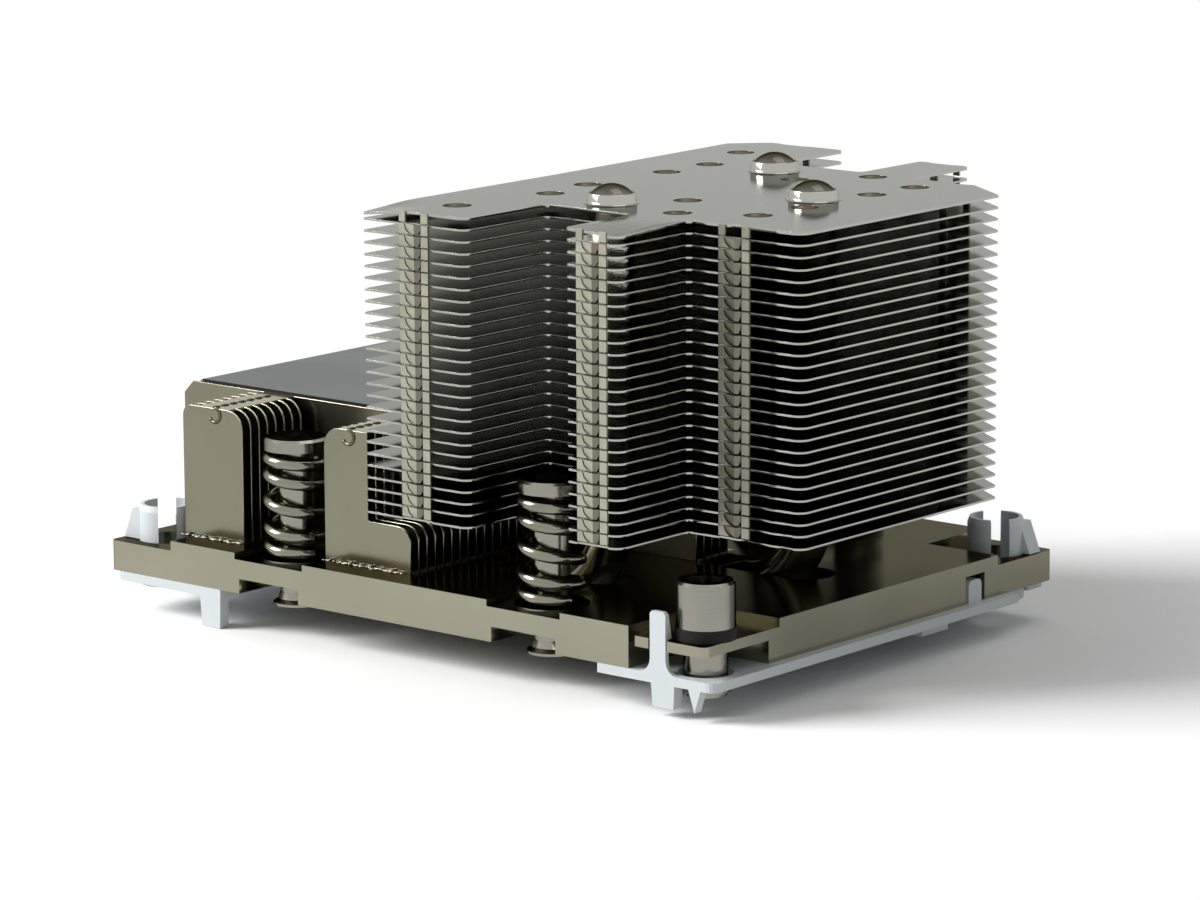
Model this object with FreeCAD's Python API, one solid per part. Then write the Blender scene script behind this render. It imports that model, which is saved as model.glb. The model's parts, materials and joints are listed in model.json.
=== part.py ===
import FreeCAD, Part
import math
import os

# Passive server heatsink: a machined base plate carries vertical low fins,
# three heat pipes and a tall stack of horizontal fins over the air path.
# Origin: centre of the contact face under the base plate. X is the long
# direction, Y the short one, Z points away from the processor.

# Base plate
plate_length = 108.0
plate_width = 78.0
plate_thickness = 5.7
plate_edge_round = 1.0

# Corner pockets: two hold alignment holes, two hold captive nuts
align_pocket_x = 12.0
align_pocket_y = 13.2
align_pocket_depth = 1.4
align_hole_radius = 4.15
align_inset_x = 5.5
align_inset_y = 6.0
nut_pocket_x = 12.7
nut_pocket_y_top = 15.7
nut_pocket_y_bottom = 13.4
nut_ledge_bottom = 3.15
nut_ledge_top = 4.55
nut_inset_x = 3.8
nut_inset_y = 5.0
nut_relief_length = 1.1
nut_relief_depth = 2.6

# Spring screws stand in pockets along both long edges
screw_spacing_x = 46.4
screw_inset_y = 6.0
screw_pocket_width = 12.8
screw_pocket_depth = 0.9
screw_relief_width = 11.2
screw_relief_height = 2.1
screw_relief_y = 10.0

# Sleeve, screw, washer and spring
sleeve_radius = 2.5
sleeve_bore_radius = 1.9
sleeve_clearance = 0.08
screw_clearance = 0.05
flare_radius = 3.5
flare_height = 1.9
flare_rim = 0.35
flare_bottom = -1.5
flare_waist_rise = 0.85
flare_waist_reach = 0.3
head_radius = 4.55
head_height = 1.75
head_bottom = 20.4
head_chamfer = 0.35
recess_outer = 2.7
recess_inner = 2.0
recess_depth = 1.7
head_recess_depth = 1.2
recess_points = 12
washer_radius = 5.1
washer_thickness = 0.4
wire_diameter = 1.8
coil_outer_radius = 4.7
coil_turns = 4.5
coil_end_flatness = 0.38
coil_start_angle = -50.0
coil_steps_per_turn = 14
coil_sides = 7

# Captive nut
nut_radius = 3.95
nut_height = 6.1
nut_stem_radius = 2.95
nut_stem_bottom = -2.9
nut_bore_radius = 1.9
nut_bore_depth = 9.0
nut_clearance = 0.08
seal_radius = 4.1
seal_thickness = 1.65
seal_side_clearance = 0.1
seal_gap = 0.05
ring_radius = 3.4
ring_thickness = 0.5
ring_bottom = -2.4

# Heat pipes, flattened in the plate with the flat side in the contact face
pipe_diameter = 6.0
pipe_bend_radius = 12.0
pipe_flat_width = 7.2
pipe_flat_height = 4.2
pipe_start_x = -32.0
pipe_change_length = 6.0
pipe_front_x = 22.0
pipe_front_y = -18.8
pipe_back_x = 20.4
pipe_back_y = 18.6
pipe_side_x = 41.3
pipe_side_y = 0.2
pipe_tip_height = 2.7
pipe_tip_dome = 1.5
pipe_slot_radius = 4.15
pipe_slot_ahead = 3.0
groove_clearance = 0.05

# Low fins, one vertical sheet after another along Y
low_fin_pitch = 1.7
low_fin_thickness = 0.3
low_fin_front_y = -34.0
low_fin_rows_outer = 8
low_fin_rows_wide = 25
low_fin_top = 24.4
low_step_top = 12.1
low_fin_foot = 1.35
low_tall_right = -9.0
low_step_right = -1.2
low_middle_right = 24.0
low_middle_rows = 5
left_block_x = -44.0
left_block_width = 11.5
middle_block_x = -17.0
wide_left_x = -57.0
wide_chamfer = 1.8
low_round = 2.8
step_round = 2.3
tab_width = 3.2
tab_inset = 3.6

# Tall fins, one level sheet above another
tall_fin_count = 27
tall_fin_thickness = 0.35
tall_bottom = 15.3
tall_top = 57.1
tall_left = -2.4
tall_right = 58.4
tall_half_width = 41.3
tall_mid_half_width = 38.8
tall_side_half_width = 24.4
tall_mid_right = 39.6
tall_back_chamfer_left = 4.5
tall_back_chamfer_right = 8.0
tall_side_chamfer_right = 5.5
tall_corner = 1.6
driver_slot_width = 15.0
driver_slot_wall = 25.0
zip_width = 5.2
zip_left_x = 6.6
zip_mid_x = 35.1
zip_right_inset = 11.2
zip_right_x = tall_right - zip_right_inset
zip_gap = 0.06
zip_sheet = 0.35
zip_slit = 0.14
tongue_top_left = -1.5
tongue_foot_left = -0.35
tongue_tip = 0.7
tongue_right = 1.17
tongue_tip_rise = 0.3
tongue_side_rise = 0.8
tongue_waist = -1.25
tongue_waist_rise = 0.75
tongue_ridge = 0.3
tongue_lift = 0.42
right_tab_left = 1.33
collar_radius = 3.4
collar_height = 1.5
collar_sides = 10
pipe_hole_gap = 0.02
dimple_radius = 1.5
dimple_depth = 0.2
dimple_places = [(7.2, -33.2), (9.8, -17.1), (8.4, -7.5), (9.2, 8.6), (9.2, 18.2), (5.0, 30.5), (28.5, -10.7),
                 (34.5, -20.3), (44.2, -15.5), (44.6, -6.1), (27.7, 13.8), (34.7, 22.3), (44.7, 8.7), (45.2, 17.8)]

# Label on the low fins
label_left = -53.4
label_right = -10.2
label_half_width = 20.2
label_thickness = 0.45

# Carrier clip under the plate
carrier_thickness = 1.3
carrier_window_x = 72.4
carrier_window_y = 50.0
carrier_side_x = 55.5
carrier_end_x = 52.2
carrier_end_y = 28.7
carrier_recess_x = 49.6
carrier_recess_y = 35.5
carrier_rail_y = 28.3
carrier_arm_x = 32.5
carrier_nut_arm_x = 36.0
carrier_round = 1.3
carrier_nut_hole = 3.7
leg_height = 4.3
leg_length = 3.9
leg_width = 1.7
leg_taper = 0.3
nut_leg_height = 3.1
nut_leg_x = 47.0
foot_left = 51.3
foot_right = 53.3
foot_height = 3.0
foot_depth = 1.4
prong_left = 44.9
prong_right = 47.5
prong_top = 8.3
prong_depth = 0.65
prong_corner = 0.35
prong_foot = 1.9
prong_barb = 0.45
prong_barb_height = 3.4
prong_gap = 0.25
guide_radius = 2.9
guide_boss_height = 0.8
finger_outer = 4.0
finger_inner = 3.2
finger_top = 9.4
finger_top_slope = 0.8
finger_rim = 0.3
finger_gap = 2.6
finger_barb = 1.2
finger_barb_top = -0.5
finger_barb_height = 4.3
finger_barb_start = 0.8
finger_barb_end = 3.4
finger_barb_gap = 0.1
side_tab_y = 20.5
side_tab_width = 3.0
side_tab_round = 0.8
side_tab_height = 3.2
side_tab_depth = 1.4
side_tab_gap = 0.7
lug_y = 8.2
lug_length = 6.0
lug_width = 2.4
lug_height = 1.3

half_x = plate_length / 2
half_y = plate_width / 2
screw_x = screw_spacing_x / 2
screw_y = half_y - screw_inset_y
nut_x = half_x - nut_inset_x
nut_y = half_y - nut_inset_y
align_x = half_x - align_inset_x
align_y = half_y - align_inset_y
align_floor = plate_thickness - align_pocket_depth
screw_floor = plate_thickness - screw_pocket_depth
washer_top = screw_floor + washer_thickness
tall_pitch = (tall_top - tall_bottom - tall_fin_thickness) / (tall_fin_count - 1)
pipe_radius = pipe_diameter / 2
pipe_places = [("front", pipe_front_x, pipe_front_y), ("back", pipe_back_x, pipe_back_y),
               ("side", pipe_side_x, pipe_side_y)]
screw_places = [("front_left", -screw_x, -screw_y), ("front_right", screw_x, -screw_y),
                ("back_left", -screw_x, screw_y), ("back_right", screw_x, screw_y)]
Z_AXIS = FreeCAD.Vector(0, 0, 1)


def point(x, y, z):
    return FreeCAD.Vector(x, y, z)


def block(x0, x1, y0, y1, z0, z1):
    return Part.makeBox(x1 - x0, y1 - y0, z1 - z0, point(x0, y0, z0))


def post(x, y, z0, z1, radius):
    return Part.makeCylinder(radius, z1 - z0, point(x, y, z0), Z_AXIS)


def turned_about(shape):
    """The same shape turned half a turn about the vertical axis."""
    other = shape.copy()
    other.rotate(point(0, 0, 0), Z_AXIS, 180)
    return other


def flat_face(corners, z):
    ring = [point(x, y, z) for x, y in corners]
    return Part.Face(Part.makePolygon(ring + ring[:1]))


def slab(corners, z0, z1):
    return flat_face(corners, z0).extrude(point(0, 0, z1 - z0))


def upright(corners, y0, y1):
    """A profile drawn in X and Z, thick from y0 to y1."""
    ring = [point(x, y0, z) for x, z in corners]
    return Part.Face(Part.makePolygon(ring + ring[:1])).extrude(point(0, y1 - y0, 0))


def turned_part(profile, x, y):
    """A profile of radius and height, revolved about an upright axis."""
    ring = [point(x + r, y, z) for r, z in profile]
    return Part.Face(Part.makePolygon(ring + ring[:1])).revolve(point(x, y, 0), Z_AXIS, 360)


def arc_corners(cx, cy, radius, start, end, steps):
    span = end - start
    turns = [math.radians(start + span * i / steps) for i in range(steps + 1)]
    return [(cx + radius * math.cos(a), cy + radius * math.sin(a)) for a in turns]


def vertical_edges_at(shape, spots):
    found = []
    for edge in shape.Edges:
        low, high = edge.Vertexes[0].Point, edge.Vertexes[-1].Point
        if abs(low.x - high.x) > 1e-6 or abs(low.y - high.y) > 1e-6:
            continue
        if any(abs(low.x - x) < 1e-6 and abs(low.y - y) < 1e-6 for x, y in spots):
            found.append(edge)
    return found


def base_plate():
    plate = block(-half_x, half_x, -half_y, half_y, 0, plate_thickness)
    corners = [(sx * half_x, sy * half_y) for sx in (-1, 1) for sy in (-1, 1)]
    plate = plate.makeFillet(plate_edge_round, vertical_edges_at(plate, corners))
    nut_edge = half_x - nut_pocket_x
    above = block(nut_edge, half_x, -half_y, -half_y + nut_pocket_y_top, nut_ledge_top, plate_thickness)
    below = block(nut_edge, half_x, -half_y, -half_y + nut_pocket_y_bottom, 0, nut_ledge_bottom)
    ledge_hole = post(nut_x, -nut_y, 0, plate_thickness, nut_stem_radius + nut_clearance)
    prong_notch = block(prong_left - prong_gap, prong_right + prong_gap, -half_y,
                        -half_y + prong_depth + prong_gap, 0, plate_thickness)
    relief_notch = block(nut_edge, nut_edge + nut_relief_length, -half_y,
                         -half_y + nut_relief_depth, 0, plate_thickness)
    align_cut = block(half_x - align_pocket_x, half_x, half_y - align_pocket_y, half_y,
                      align_floor, plate_thickness)
    align_hole = post(align_x, align_y, 0, plate_thickness, align_hole_radius)
    tab_slot = block(half_x - side_tab_depth - side_tab_gap, half_x,
                     side_tab_y - side_tab_width / 2 - side_tab_gap,
                     side_tab_y + side_tab_width / 2 + side_tab_gap, 0, side_tab_height + side_tab_gap)
    cuts = []
    for cut in (above, below, ledge_hole, prong_notch, relief_notch, align_cut, align_hole, tab_slot):
        cuts += [cut, turned_about(cut)]
    for _, x, y in screw_places:
        cuts += screw_cuts(x, y)
    return plate.cut(cuts + pipe_cuts())


def screw_cuts(x, y):
    """The pocket over a screw, the relief under it and its hole."""
    side = 1 if y > 0 else -1
    half = screw_pocket_width / 2
    rim = side * half_y
    round_end = post(x, y, screw_floor, plate_thickness, half)
    mouth = block(x - half, x + half, min(y, rim), max(y, rim), screw_floor, plate_thickness)
    inner = rim - side * screw_relief_y
    relief = block(x - screw_relief_width / 2, x + screw_relief_width / 2, min(rim, inner),
                   max(rim, inner), 0, screw_relief_height)
    hole = post(x, y, 0, plate_thickness, sleeve_radius + sleeve_clearance)
    return [round_end, mouth, relief, hole]


def pipe_cuts():
    """Grooves for the flat runs and slots where the bends leave the plate."""
    cuts = []
    for _, x, y in pipe_places:
        bend = x - pipe_bend_radius
        start = pipe_start_x - groove_clearance
        groove = Part.Face(flat_section(start, y, groove_clearance)).extrude(point(bend - start, 0, 0))
        half = pipe_flat_width / 2 + groove_clearance
        mouth = block(start, bend, y - half, y + half, 0, pipe_flat_height / 2)
        change = bend - pipe_change_length
        rise = block(change, bend, y - half, y + half, 0, plate_thickness)
        right = x + pipe_slot_ahead - pipe_slot_radius
        slot = block(bend, right, y - pipe_slot_radius, y + pipe_slot_radius, 0, plate_thickness)
        cuts += [groove, mouth, rise, slot, post(right, y, 0, plate_thickness, pipe_slot_radius)]
    return cuts


def flat_section(x, y, grow=0.0):
    """Outline of the flattened pipe: two flats joined by half circles."""
    r = pipe_flat_height / 2 + grow
    z = pipe_flat_height / 2
    reach = pipe_flat_width / 2 + grow - r
    right = Part.Arc(point(x, y + reach, z - r), point(x, y + reach + r, z), point(x, y + reach, z + r))
    left = Part.Arc(point(x, y - reach, z + r), point(x, y - reach - r, z), point(x, y - reach, z - r))
    top = Part.LineSegment(point(x, y + reach, z + r), point(x, y - reach, z + r))
    bottom = Part.LineSegment(point(x, y - reach, z - r), point(x, y + reach, z - r))
    return Part.Wire([right.toShape(), top.toShape(), left.toShape(), bottom.toShape()])


def round_section(x, y):
    """Outline of the round pipe in four arcs that match the flattened one."""
    spots = []
    for degrees in (-60, 0, 60, 90, 120, 180, 240, 270, 300):
        a = math.radians(degrees)
        spots.append(point(x, y + pipe_radius * math.cos(a), pipe_radius + pipe_radius * math.sin(a)))
    arcs = [Part.Arc(spots[i], spots[i + 1], spots[i + 2]).toShape() for i in (0, 2, 4, 6)]
    return Part.Wire(arcs)


def heat_pipe(x, y):
    """Flat run in the plate, a quarter bend and an upright run with a domed tip."""
    bend_x = x - pipe_bend_radius
    bend_z = pipe_radius + pipe_bend_radius
    change_x = bend_x - pipe_change_length
    run = Part.Face(flat_section(pipe_start_x, y)).extrude(point(change_x - pipe_start_x, 0, 0))
    change = Part.makeLoft([flat_section(change_x, y), round_section(bend_x, y)], True, True)
    circle = Part.Wire(Part.Circle(point(bend_x, y, pipe_radius), point(1, 0, 0), pipe_radius).toShape())
    bend = Part.Face(circle).revolve(point(bend_x, y, bend_z), point(0, -1, 0), 90)
    tip = tall_top + pipe_tip_height
    side = tip - pipe_tip_dome
    sphere_radius = (pipe_radius ** 2 + pipe_tip_dome ** 2) / (2 * pipe_tip_dome)
    upper = post(x, y, bend_z, side, pipe_radius)
    dome = Part.makeSphere(sphere_radius, point(x, y, tip - sphere_radius))
    dome = dome.common(post(x, y, side, tip + pipe_tip_dome, pipe_radius))
    return run.fuse([change, bend, upper, dome]).removeSplitter()


def low_fin(profile, y, feet):
    """One upright sheet with soldered feet bent along Y."""
    sheet = upright(profile, y, y + low_fin_thickness)
    foot_top = plate_thickness + low_fin_thickness
    parts = [block(x0, x1, y + low_fin_thickness, y + low_fin_foot, plate_thickness, foot_top)
             for x0, x1 in feet]
    return sheet.fuse(parts)


def row_y(row):
    return low_fin_front_y + row * low_fin_pitch


def left_block_fin(row):
    right = left_block_x + left_block_width
    shoulder = arc_corners(right - low_round, low_fin_top - low_round, low_round, 0, 90, 3)
    profile = [(left_block_x, plate_thickness), (right, plate_thickness)] + shoulder
    profile.append((left_block_x, low_fin_top))
    return low_fin(profile, row_y(row), [(left_block_x, right)])


def middle_block_fin(row):
    step = arc_corners(low_step_right - step_round, low_step_top - step_round, step_round, 0, 90, 3)
    shoulder = arc_corners(middle_block_x + low_round, low_fin_top - low_round, low_round, 90, 180, 3)
    profile = [(middle_block_x, plate_thickness), (low_step_right, plate_thickness)] + step
    profile += [(low_tall_right, low_step_top), (low_tall_right, low_fin_top)] + shoulder
    return low_fin(profile, row_y(row), [(middle_block_x, low_step_right)])


def wide_fin(row):
    """A sheet of the full-width group, longer in the rows between the pipes."""
    centre_row = low_fin_rows_outer + (low_fin_rows_wide - 1) // 2
    reach = low_middle_right if abs(row - centre_row) <= low_middle_rows // 2 else low_step_right
    step = arc_corners(reach - step_round, low_step_top - step_round, step_round, 0, 90, 3)
    profile = [(wide_left_x, plate_thickness), (reach, plate_thickness)] + step
    profile += [(low_tall_right, low_step_top), (low_tall_right, low_fin_top),
                (wide_left_x + wide_chamfer, low_fin_top), (wide_left_x, low_fin_top - wide_chamfer)]
    return low_fin(profile, row_y(row), [(-half_x + plate_edge_round, reach)])


def top_tab(x, row):
    """Interlocking tab that ties a sheet's top edge to the next one."""
    y = row_y(row) + low_fin_thickness
    return block(x, x + tab_width, y, y + low_fin_pitch - low_fin_thickness,
                 low_fin_top - low_fin_thickness, low_fin_top)


def low_fin_rows():
    front = range(low_fin_rows_outer)
    wide = range(low_fin_rows_outer, low_fin_rows_outer + low_fin_rows_wide)
    back = range(low_fin_rows_outer + low_fin_rows_wide, 2 * low_fin_rows_outer + low_fin_rows_wide)
    left_tab = left_block_x + tab_inset
    middle_tab = middle_block_x + low_round
    groups = {}
    for name, rows in (("front", front), ("back", back)):
        groups["low_fins_left_" + name] = [left_block_fin(i).fuse(top_tab(left_tab, i)) for i in rows]
        groups["low_fins_middle_" + name] = [middle_block_fin(i).fuse(top_tab(middle_tab, i)) for i in rows]
    groups["low_fins_wide"] = [wide_fin(i) for i in wide]
    return groups


def softened(corners, cut):
    """Cut every outer corner named with a True flag; the rest stay sharp."""
    result = []
    count = len(corners)
    for i, (x, y, soft) in enumerate(corners):
        if not soft:
            result.append((x, y))
            continue
        for j in (i - 1, (i + 1) % count):
            nx, ny, _ = corners[j]
            length = math.hypot(nx - x, ny - y)
            result.append((x + (nx - x) * cut / length, y + (ny - y) * cut / length))
    return result


def tall_outline():
    """Plan of a level fin: driver slots front and back, open nut corner."""
    slot_left = screw_x - driver_slot_width / 2
    slot_right = screw_x + driver_slot_width / 2
    corners = [
        (tall_left, -tall_half_width, False), (slot_left, -tall_half_width, True),
        (slot_left, -driver_slot_wall, False), (slot_right, -driver_slot_wall, False),
        (slot_right, -tall_mid_half_width, False), (tall_mid_right, -tall_mid_half_width, True),
        (tall_mid_right, -tall_side_half_width, False), (tall_right, -tall_side_half_width, True),
        (tall_right, tall_side_half_width - tall_side_chamfer_right, False),
        (tall_right - tall_back_chamfer_right, tall_side_half_width, False),
        (tall_mid_right, tall_side_half_width, False), (tall_mid_right, tall_mid_half_width, True),
        (slot_right, tall_mid_half_width, False), (slot_right, driver_slot_wall, False),
        (slot_left, driver_slot_wall, False), (slot_left, tall_half_width, True),
        (tall_left + tall_back_chamfer_left, tall_half_width, False),
        (tall_left, tall_half_width - tall_back_chamfer_left, False)]
    return softened(corners, tall_corner)


def zip_places():
    """Centre and outward edge of each column of interlocking tabs."""
    front = [(zip_left_x, -tall_half_width), (zip_mid_x, -tall_mid_half_width),
             (zip_right_x, -tall_side_half_width)]
    return front + [(x, -y) for x, y in front]


def hooked_tab():
    """Folded tab drawn at the origin facing -Y: two plates and a ridged tongue."""
    foot = tall_fin_thickness + zip_gap - tall_pitch
    top = tall_fin_thickness
    half = zip_width / 2
    plate = block(-half, half, 0, zip_sheet, foot, 0)
    left_edge = [(tongue_top_left, top), (tongue_waist, foot + tongue_waist_rise),
                 (tongue_foot_left, foot)]
    slit = upright(left_edge + [(x - zip_slit, z) for x, z in reversed(left_edge)], 0, zip_sheet)
    corner = upright([(tongue_foot_left, foot), (tongue_tip, foot + tongue_tip_rise),
                      (tongue_right, foot + tongue_side_rise), (tongue_right, top), (right_tab_left, top),
                      (right_tab_left, foot)], 0, zip_sheet)
    tongue = upright(left_edge + [(tongue_tip, foot + tongue_tip_rise),
                                  (tongue_right, foot + tongue_side_rise), (tongue_right, top)],
                     -tongue_lift, 0)
    ridge = slab([(tongue_top_left, 0), (tongue_ridge, -tongue_lift), (tongue_right, 0)], foot, top)
    return plate, [slit, corner], ridge.common(tongue)


def dimples(high):
    """Shallow round dents in the top sheet."""
    ball = (dimple_radius ** 2 + dimple_depth ** 2) / (2 * dimple_depth)
    return [Part.makeSphere(ball, point(x, y, high + ball - dimple_depth)) for x, y in dimple_places]


def tall_fin(level, tab):
    low = tall_bottom + level * tall_pitch
    high = low + tall_fin_thickness
    sheet = slab(tall_outline(), low, high)
    holes = []
    collars = []
    is_top = level == tall_fin_count - 1
    for _, x, y in pipe_places:
        hole_radius = pipe_radius + pipe_hole_gap
        if is_top:
            holes.append(post(x, y, low, high, hole_radius))
            collars.append(turned_part([(hole_radius, high), (collar_radius, high),
                                        (collar_radius, high + collar_height),
                                        (hole_radius, high + collar_height)], x, y))
        else:
            around = hole_radius / math.cos(math.pi / collar_sides)
            holes.append(slab(arc_corners(x, y, around, 0, 360 - 360 / collar_sides, collar_sides - 1),
                              low, high))
    if is_top:
        holes += dimples(high)
    if level == 0:
        return sheet.cut(holes)
    plate, slits, ridge = tab
    plates = []
    ridges = []
    for x, edge in zip_places():
        place = point(x, edge, low)
        for shape, group in [(plate, plates), (ridge, ridges)] + [(slit, holes) for slit in slits]:
            group.append((shape if edge < 0 else turned_about(shape)).translated(place))
    return sheet.fuse(plates).cut(holes).fuse(ridges + collars)


def label():
    return block(label_left, label_right, -label_half_width, label_half_width,
                 low_fin_top, low_fin_top + label_thickness)


def star(x, y, z0, z1):
    """Six-lobed driver recess."""
    ring = []
    for i in range(recess_points):
        radius = recess_outer if i % 2 == 0 else recess_inner
        a = 2 * math.pi * i / recess_points
        ring.append((x + radius * math.cos(a), y + radius * math.sin(a)))
    return slab(ring, z0, z1)


def spring_screw(x, y):
    top = head_bottom + head_height
    shank = sleeve_bore_radius - screw_clearance
    body = turned_part([(0, flare_bottom + flare_rim), (shank, flare_bottom + flare_rim),
                        (shank, head_bottom), (head_radius, head_bottom),
                        (head_radius, top - head_chamfer), (head_radius - head_chamfer, top), (0, top)],
                       x, y)
    return body.cut(star(x, y, top - head_recess_depth, top))


def sleeve(x, y):
    top = head_bottom - screw_clearance
    flare_top = flare_bottom + flare_height
    return turned_part([(sleeve_bore_radius, flare_bottom), (flare_radius, flare_bottom),
                        (flare_radius, flare_bottom + flare_rim),
                        (sleeve_radius + flare_waist_reach, flare_bottom + flare_waist_rise),
                        (sleeve_radius, flare_top), (sleeve_radius, top), (sleeve_bore_radius, top)], x, y)


def washer(x, y):
    return turned_part([(sleeve_radius + sleeve_clearance, screw_floor), (washer_radius, screw_floor),
                        (washer_radius, washer_top), (sleeve_radius + sleeve_clearance, washer_top)], x, y)


def coil_spring(x, y):
    """Left-handed wire coil that flattens towards both ends, with flat facets round the wire."""
    wire = wire_diameter / 2
    mean = coil_outer_radius - wire
    low, high = washer_top + wire, head_bottom - wire
    steps = int(coil_turns * coil_steps_per_turn)
    rings = []
    for i in range(steps + 1):
        u = i / steps
        turn = math.radians(coil_start_angle) - 2 * math.pi * coil_turns * u
        rise = u - coil_end_flatness * math.sin(2 * math.pi * u) / (2 * math.pi)
        z = low + (high - low) * rise
        ring = []
        for k in range(coil_sides):
            a = 2 * math.pi * (k + 0.5) / coil_sides + math.pi / 2
            r = mean + wire * math.cos(a)
            ring.append(point(x + r * math.cos(turn), y + r * math.sin(turn), z + wire * math.sin(a)))
        rings.append(ring)
    faces = [Part.Face(Part.makePolygon(ring + ring[:1])) for ring in (rings[0], rings[-1])]
    for near, far in zip(rings, rings[1:]):
        for k in range(coil_sides):
            n = (k + 1) % coil_sides
            faces.append(Part.Face(Part.makePolygon([near[k], near[n], far[k], near[k]])))
            faces.append(Part.Face(Part.makePolygon([near[n], far[n], far[k], near[n]])))
    solid = Part.Solid(Part.makeShell(faces))
    if solid.Volume < 0:
        solid.reverse()
    return solid


def captive_nut(x, y):
    low = nut_ledge_top + seal_thickness
    top = low + nut_height
    body = turned_part([(0, nut_stem_bottom), (nut_stem_radius, nut_stem_bottom), (nut_stem_radius, low),
                        (nut_radius, low), (nut_radius, top - head_chamfer),
                        (nut_radius - head_chamfer, top), (0, top)], x, y)
    bore = post(x, y, nut_stem_bottom, nut_stem_bottom + nut_bore_depth, nut_bore_radius)
    return body.cut([bore, star(x, y, top - recess_depth, top)])


def nut_seal(x, y):
    inner = nut_stem_radius + seal_side_clearance
    top = nut_ledge_top + seal_thickness - seal_gap
    return turned_part([(inner, nut_ledge_top), (seal_radius, nut_ledge_top), (seal_radius, top),
                        (inner, top)], x, y)


def nut_ring(x, y):
    top = ring_bottom + ring_thickness
    return turned_part([(nut_stem_radius, ring_bottom), (ring_radius, ring_bottom), (ring_radius, top),
                        (nut_stem_radius, top)], x, y)


def carrier_outline():
    """Half of the outline in order; the other half is the same turned about."""
    corner = arc_corners(carrier_side_x - carrier_round, -half_y + carrier_round, carrier_round, -90, 0, 4)
    half = [(-carrier_end_x, -half_y), (-carrier_arm_x, -half_y), (-carrier_arm_x, -carrier_rail_y),
            (carrier_nut_arm_x, -carrier_rail_y), (carrier_nut_arm_x, -half_y)] + corner
    half += [(carrier_side_x, carrier_end_y), (carrier_recess_x, carrier_end_y),
             (carrier_recess_x, carrier_recess_y), (carrier_end_x, carrier_recess_y)]
    return half + [(-x, -y) for x, y in half]


def carrier_prong():
    """Snap prong in the nut corner, with round feet and a barb over the ledge."""
    feet_left = arc_corners(prong_left - prong_foot, prong_foot, prong_foot, -90, 0, 4)
    feet_right = arc_corners(prong_right + prong_foot, prong_foot, prong_foot, 180, 270, 4)
    profile = [(prong_left - prong_foot, -carrier_thickness / 2)] + feet_left
    profile += [(prong_left, prong_top - prong_corner), (prong_left + prong_corner, prong_top),
                (prong_right - prong_corner, prong_top), (prong_right, prong_top - prong_corner)] + feet_right
    profile.append((prong_right + prong_foot, -carrier_thickness / 2))
    blade = upright(profile, -half_y, -half_y + prong_depth)
    back = -half_y + prong_depth
    seat = nut_ledge_top + finger_barb_gap
    corners = [(back - prong_depth / 2, seat), (back + prong_gap + prong_barb, seat),
               (back, seat + prong_barb_height), (back - prong_depth / 2, seat + prong_barb_height)]
    ring = [point(prong_left, y, z) for y, z in corners]
    barb = Part.Face(Part.makePolygon(ring + ring[:1])).extrude(point(prong_right - prong_left, 0, 0))
    return blade.fuse(barb)


def carrier_fingers():
    """Two curved fingers standing through the alignment hole, split across the corner."""
    ring = turned_part([(guide_radius, -carrier_thickness - guide_boss_height),
                        (finger_outer, -carrier_thickness - guide_boss_height),
                        (finger_outer, finger_top - finger_top_slope), (finger_outer - finger_rim, finger_top),
                        (finger_inner, finger_top), (finger_inner, 0), (guide_radius, 0)], align_x, align_y)
    seat = align_floor + finger_barb_gap
    top = seat + finger_barb_height
    barb = upright([(align_x, seat), (align_x + finger_outer + finger_barb, seat),
                    (align_x + finger_outer + finger_barb_top, top), (align_x, top)],
                   align_y + finger_barb_start, align_y + finger_barb_end)
    barb = barb.cut(post(align_x, align_y, seat, top, finger_inner))
    reach = 2 * finger_outer
    gap = block(align_x - reach, align_x + reach, align_y - finger_gap / 2, align_y + finger_gap / 2,
                0, finger_top)
    gap.rotate(point(align_x, align_y, 0), Z_AXIS, -45)
    return ring.cut(gap).fuse(barb)


def carrier_leg(middle, height):
    """Tapered leg under the front rail."""
    half = leg_length / 2
    low = -carrier_thickness - height
    return upright([(middle - half, -carrier_thickness), (middle - half + leg_taper, low),
                    (middle + half - leg_taper / 2, low), (middle + half, -carrier_thickness)],
                   -half_y, -half_y + leg_width)


def side_tab():
    """Round-topped tab in the slot of the plate's side."""
    half = side_tab_width / 2
    top = side_tab_height - side_tab_round
    right = arc_corners(side_tab_y + half - side_tab_round, top, side_tab_round, 0, 90, 4)
    left = arc_corners(side_tab_y - half + side_tab_round, top, side_tab_round, 90, 180, 4)
    corners = [(side_tab_y - half, -carrier_thickness), (side_tab_y + half, -carrier_thickness)] + right + left
    ring = [point(half_x - side_tab_depth, y, z) for y, z in corners]
    return Part.Face(Part.makePolygon(ring + ring[:1])).extrude(point(side_tab_depth, 0, 0))


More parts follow.
